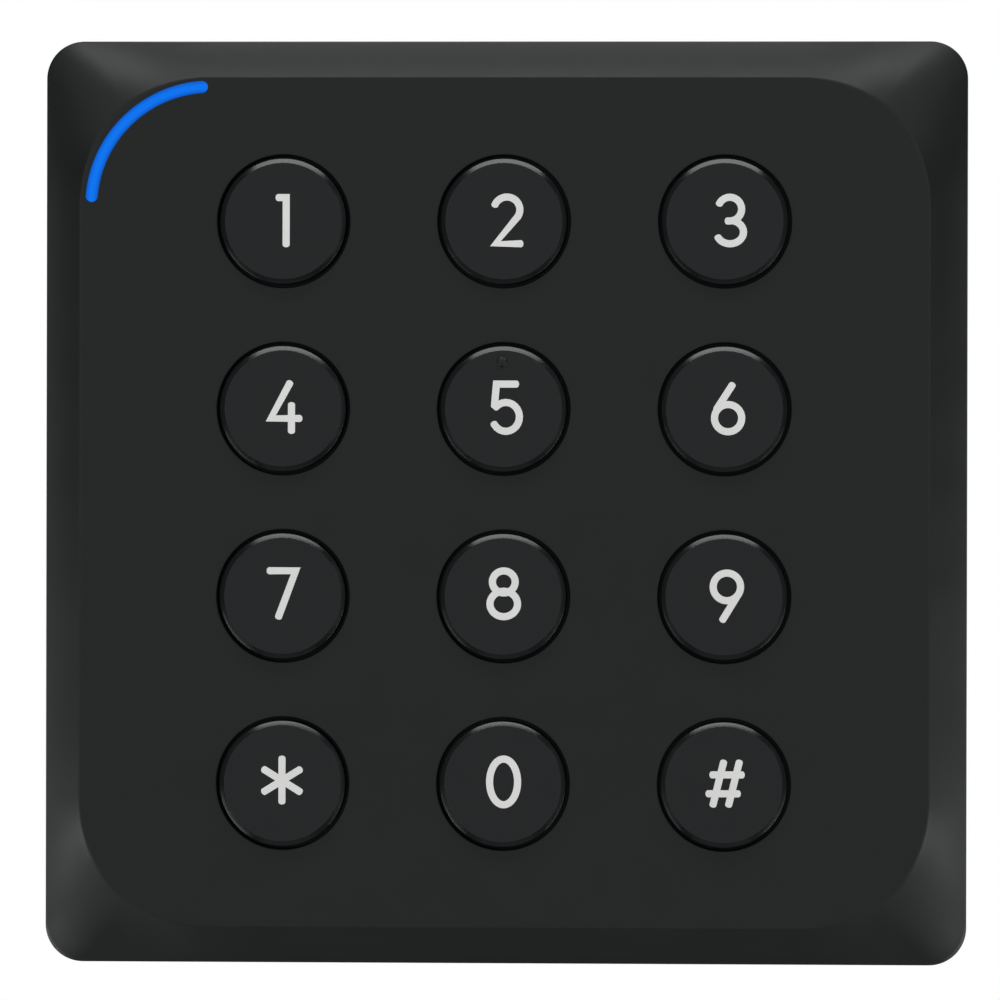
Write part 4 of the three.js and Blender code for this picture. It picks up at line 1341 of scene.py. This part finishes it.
def rear_cover():
    low, high = node_box("rear_cover")
    half, rim_top = high.x, high.z
    floor_top = REAR_FLOOR_Z + REAR_FLOOR
    tray = pierced(box_stack(half, half, OUTER_CORNER_R - WALL, 0.3, rim_top, low.z))

    def window(outline, edge):
        return through_cutter(outline, edge, REAR_FLOOR_Z, floor_top)

    pocket = node_box("wall_plate")[1].x + PLATE_CLEARANCE
    plate_outline = rectangle(-pocket, pocket, -pocket, pocket, PLATE_CORNER_R + PLATE_CLEARANCE, 16)
    well = WELL_HALF - WELL_WALL
    cuts = [
        rear_cover_room(half, floor_top, rim_top),
        blind_cutter(plate_outline, 0.2, low.z, REAR_FLOOR_Z),
        window(rectangle(*CABLE_WINDOW, 1.2), 0.25),
        block(-well, well, -half - PAST, WELL_TOP_Y - WELL_WALL, low.z - PAST, rim_top - WELL_WALL),
        window(circle(PLUNGER_HOLE_R, PLUNGER.x, PLUNGER.y), 0.2),
    ]
    for hook in (-HOOK_X, HOOK_X):
        outline = rectangle(hook - HOOK_WINDOW_HALF, hook + HOOK_WINDOW_HALF, *HOOK_WINDOW_Y, 0.5)
        cuts.append(window(outline, 0.2))
    for screw in COVER_SCREWS:
        cuts.append(blind_cutter(circle(HEAD_POCKET_R, screw.x, screw.y), 0.15, low.z, HEAD_POCKET_Z))
        cuts.append(rod(SCREW_HOLE_R, 0, rim_top + PAST, screw))
    piece("rear_cover_tray", tray, "rear", ["rear_cover"], remove=cuts)


GASKET_WIDTH = 1.4


def gasket():
    low, high = node_box("cover_gasket")
    outer = box_stack(high.x, high.y, 1.5, 0.4, high.z, low.z, steps=8)
    inner = hole_stack(high.x - GASKET_WIDTH, high.y - GASKET_WIDTH, 0.6, 0.2, high.z, low.z)
    piece("gasket_ring", pierced(outer, [inner]), "rubber", ["cover_gasket"])


# ---- Fasteners -------------------------------------------------------------------

COVER_SCREW_SEAT_Z = 2.2
COVER_SHANK_R = 1.2
BOARD_SCREW_GAP = 0.3
BOARD_SHANK_R = 1


def thread(shank_r, start, end, pitch=0.55):
    """(radius, height) pairs down a threaded shank."""
    pairs = []
    count = int(abs(end - start) / pitch)
    step = math.copysign(pitch, end - start)
    for index in range(count):
        h = start + index * step
        pairs += [(shank_r - 0.2, h), (shank_r, h + 0.45 * step), (shank_r, h + 0.6 * step)]
    return pairs


def cross_screw(node, seat_z, shank_r):
    """A pan-headed screw with a cross recess, its head towards the wall."""
    at = place_of(node)
    x, y, low, head_r = at.x, at.y, at.low.z, at.half_x
    head = seat_z - low
    body = turned([
        (0, low),
        *rounded_corner((0, low), (head_r, low), (head_r, seat_z), 0.5 * head),
        *rounded_corner((head_r, low), (head_r, seat_z), (0, seat_z), 0.12),
        *thread(shank_r, seat_z, at.high.z - shank_r),
        (0, at.high.z),
    ], x, y, 40)
    arm, half = head_r * 0.55, 0.26
    depth = 0.6 * head
    tip = [(0, low - PAST), (0.62, low - PAST), (0.5, low + depth * 0.6), (0, low + depth * 1.2)]
    recess = [
        block(x - arm, x + arm, y - half, y + half, low - PAST, low + depth),
        block(x - half, x + half, y - arm, y + arm, low - PAST, low + depth),
        turned(tip, x, y, 24),
    ]
    piece(f"{node}_body", body, "zinc", [node], remove=recess, sharp_angle=35)


def lock_screw():
    """The lock screw's head, with a six-sided recess round a pin, looks down out of the bottom edge."""
    at = place_of("lock_screw")
    low, head_r = at.low.y, at.half_x
    head_top = low + 1.1
    body = turned([
        (0, low),
        *rounded_corner((0, low), (head_r, low), (head_r, head_top), 0.3),
        *rounded_corner((head_r, low), (head_r, head_top), (0, head_top), 0.1),
        *thread(1.4, head_top, at.high.y - 0.4, 0.45),
        (0, at.high.y),
    ], at.x, at.z, SMALL_ROUND, upright=True)
    depth = low + 0.8
    socket = rod(1.5, low - PAST, depth, at, 6, upright=True)
    profile = [(0, low + 0.1), (0.45, low + 0.1), (0.5, low + 0.2), (0.5, depth + 0.2), (0, depth + 0.2)]
    pin = turned(profile, at.x, at.z, 24, upright=True)
    piece("lock_screw_body", carved(body, [socket]), "black_steel", ["lock_screw"], add=[pin], sharp_angle=35)


def lock_nut():
    at = place_of("lock_nut")
    r, low, high, edge = at.half_x, at.low.y, at.high.y, 0.15
    profile = [(0, low), (r - edge, low), (r, low + edge), (r, high - edge), (r - edge, high), (0, high)]
    nut = turned(profile, at.x, at.z, 6, upright=True)
    bore = rod(1.5, low - PAST, high + PAST, at, upright=True)
    piece("lock_nut_body", nut, "zinc", ["lock_nut"], remove=[bore], sharp_angle=30)


# ---- Wall plate ------------------------------------------------------------------

SHEET = 1.2
SHEET_EDGE = 0.18
HOOK_Y = 30
HOOK_WIDTH = 8
HOOK_RISE = 3.8
SLOT_REACH = 30.15
SLOT_HALF_WIDTH = 2.3
SLOT_HALF_LENGTH = 4.2
PLATE_WINDOW = (-15, 15, -24, -7)
PLATE_PLUNGER_HOLE_R = 2.2
HOOK_LIFT = 5.2
FLANGE_HALF = 6
FLANGE_Y = -38.4
FLANGE_HOLE_R = 1.7
BEND_R = 0.9


def bent(points, radius=BEND_R):
    """(outward, z) points with each bend rounded."""
    run = [points[0]]
    for before, here, after in zip(points, points[1:], points[2:]):
        run += rounded_corner(before, here, after, radius)
    run.append(points[-1])
    return run


def plate_openings(edge):
    """The cable window, the plunger's hole, the slots for the wall box's screws, and the hooks' windows."""
    def opening(x0, x1, y0, y1, radius):
        return hole_stack((x1 - x0) / 2, (y1 - y0) / 2, radius, edge, SHEET, 0, (x0 + x1) / 2, (y0 + y1) / 2)

    holes = [opening(*PLATE_WINDOW, 1.5)]
    holes.append(round_hole_stack(PLATE_PLUNGER_HOLE_R, edge, SHEET, 0, PLUNGER.x, PLUNGER.y, SMALL_ROUND))
    wide, long = SLOT_HALF_WIDTH, SLOT_HALF_LENGTH
    for side in (-1, 1):
        reach = side * SLOT_REACH
        holes.append(opening(reach - wide, reach + wide, -long, long, wide - 0.02))
        holes.append(opening(-long, long, reach - wide, reach + wide, wide - 0.02))
        x0 = side * HOOK_X - HOOK_WIDTH / 2 - 0.3
        holes.append(opening(x0, x0 + HOOK_WIDTH + 0.6, HOOK_Y - 7, HOOK_Y, 0.4))
    return holes


def wall_plate():
    """A steel plate with its openings, two lanced hooks and a foot flange."""
    high = node_box("wall_plate")[1]
    half = high.x
    plate = pierced(box_stack(half, half, PLATE_CORNER_R, SHEET_EDGE, SHEET, 0), plate_openings(0.08))
    middle = SHEET / 2
    hook_z = HOOK_LIFT - middle
    bend_y = HOOK_Y + middle
    hook = bent([(HOOK_Y + 2, middle), (bend_y, middle), (bend_y, hook_z), (HOOK_Y + HOOK_RISE, hook_z)])
    folds = [strip(hook, SHEET - 0.02, HOOK_WIDTH, x, 0, math.pi / 2) for x in (-HOOK_X, HOOK_X)]
    foot = bent([(half - 1, middle), (-FLANGE_Y - middle, middle), (-FLANGE_Y - middle, high.z)])
    folds.append(strip(foot, SHEET - 0.02, 2 * FLANGE_HALF, 0, 0, -math.pi / 2))
    bore = rod(FLANGE_HOLE_R, FLANGE_Y - PAST, FLANGE_Y + SHEET + PAST, LOCK, upright=True)
    piece("wall_plate_sheet", plate, "sheet", ["wall_plate"], add=folds, remove=[bore], sharp_angle=35)


# ---- Everything, piece by piece --------------------------------------------------

add_camera()
front_cover()
status_light()
for legend in LEGENDS:
    key_cap(legend)
    key_legend(legend)
    contact_pill(legend)
    mat_dome(legend)
finger_dot()
mat_sheet()
main_board()
antenna_coil()
flat_chip("controller_chip", 0.74, 12, 0.25)
flat_chip("reader_chip", 0.76, 8, 0.24)
crystal()
regulator()
capacitor()
buzzer()
wiring_header()
for index in range(1, 4):
    light_source(f"status_led_{index}")
for index in range(1, 7):
    light_source(f"backlight_led_{index}")
tamper_switch()
tamper_plunger()
rear_cover()
gasket()
for index in range(1, 5):
    cross_screw(f"cover_screw_{index}", COVER_SCREW_SEAT_Z, COVER_SHANK_R)
for index in (1, 2):
    cross_screw(f"board_screw_{index}", BOARD_REAR_Z - BOARD_SCREW_GAP, BOARD_SHANK_R)
lock_screw()
lock_nut()
wall_plate()


# ---- Room ------------------------------------------------------------------------

FLOOR_Z = -1.2
FLOOR_SIZE = 6
FLOOR_GLOW = 0.45

# Soft lights: place, size across and size up in metres, and power in watts. Each faces the reader, and
# the narrow one called glint picks out the key edges.
SOFT_LIGHTS = {
    "top": ((0, -0.04, 0.38), 0.26, 0.3, 0.08),
    "glint": ((0, -0.17, 0.47), 0.6, 0.12, 1.0),
    "floor_bounce": ((0, -0.04, -0.38), 0.36, 0.3, 0.05),
    "low_left": ((-0.2, 0.01, -0.14), 0.14, 0.16, 0.235),
    "low_right": ((0.2, 0.01, -0.14), 0.14, 0.16, 0.27),
    "side_left": ((-0.6, -0.5, 0), 0.3, 0.9, 0.4),
    "side_right": ((0.6, -0.5, 0), 0.3, 0.9, 0.4),
    "back_left": ((-0.6, 0.5, 0), 0.4, 0.8, 0.5),
    "back_right": ((0.6, 0.5, 0), 0.4, 0.8, 0.55),
    "back_top": ((0, 0.5, 0.6), 0.8, 0.4, 1.9),
    "behind": ((0.2, 1.3, 0.3), 1.4, 1.2, 6),
    "front_wide": ((0, -0.9, 0), 2.2, 2.2, 5.4),
}
SURROUND = 0.02


def soft_light(name, place, wide, high, power):
    data = bpy.data.lights.new(name, "AREA")
    data.shape = "RECTANGLE"
    data.size = wide
    data.size_y = high
    data.energy = power
    light = bpy.data.objects.new(name, data)
    light.location = place
    light.rotation_euler = (-Vector(place)).to_track_quat("-Z", "Y").to_euler()
    light.visible_camera = False
    bpy.context.scene.collection.objects.link(light)


def floor():
    mesh = bmesh.new()
    half = FLOOR_SIZE / 2
    corners = ((-half, -half), (half, -half), (half, half), (-half, half))
    mesh.faces.new([mesh.verts.new((x, y, FLOOR_Z)) for x, y in corners])
    thing = as_object("floor", mesh)
    material = new_material("pale_floor", roughness=0.8, specular=0.2)
    tint(material, noise(material, 6, 2), (0.78, 0.78, 0.78), (0.82, 0.82, 0.82))
    set_inputs(shader_of(material), Emission_Color=(1, 1, 1, 1), Emission_Strength=FLOOR_GLOW)
    thing.data.materials.append(material)
    thing.visible_diffuse = False
    thing.visible_glossy = False


def room():
    """A plain pale floor, a white surround and soft lights."""
    world = bpy.data.worlds.new("surround")
    world.use_nodes = True
    bpy.context.scene.world = world
    nodes, links = world.node_tree.nodes, world.node_tree.links
    surround = nodes["Background"]
    set_inputs(surround, Color=(1, 1, 1, 1), Strength=SURROUND)
    backdrop = nodes.new("ShaderNodeBackground")
    set_inputs(backdrop, Color=(1, 1, 1, 1), Strength=1.0)
    ray = nodes.new("ShaderNodeLightPath")
    mix = nodes.new("ShaderNodeMixShader")
    links.new(ray.outputs["Is Camera Ray"], mix.inputs["Fac"])
    links.new(surround.outputs["Background"], mix.inputs[1])
    links.new(backdrop.outputs["Background"], mix.inputs[2])
    links.new(mix.outputs["Shader"], nodes["World Output"].inputs["Surface"])
    bpy.context.scene.view_settings.view_transform = "Standard"
    for name, (place, wide, high, power) in SOFT_LIGHTS.items():
        soft_light(name, place, wide, high, power)
    floor()


room()
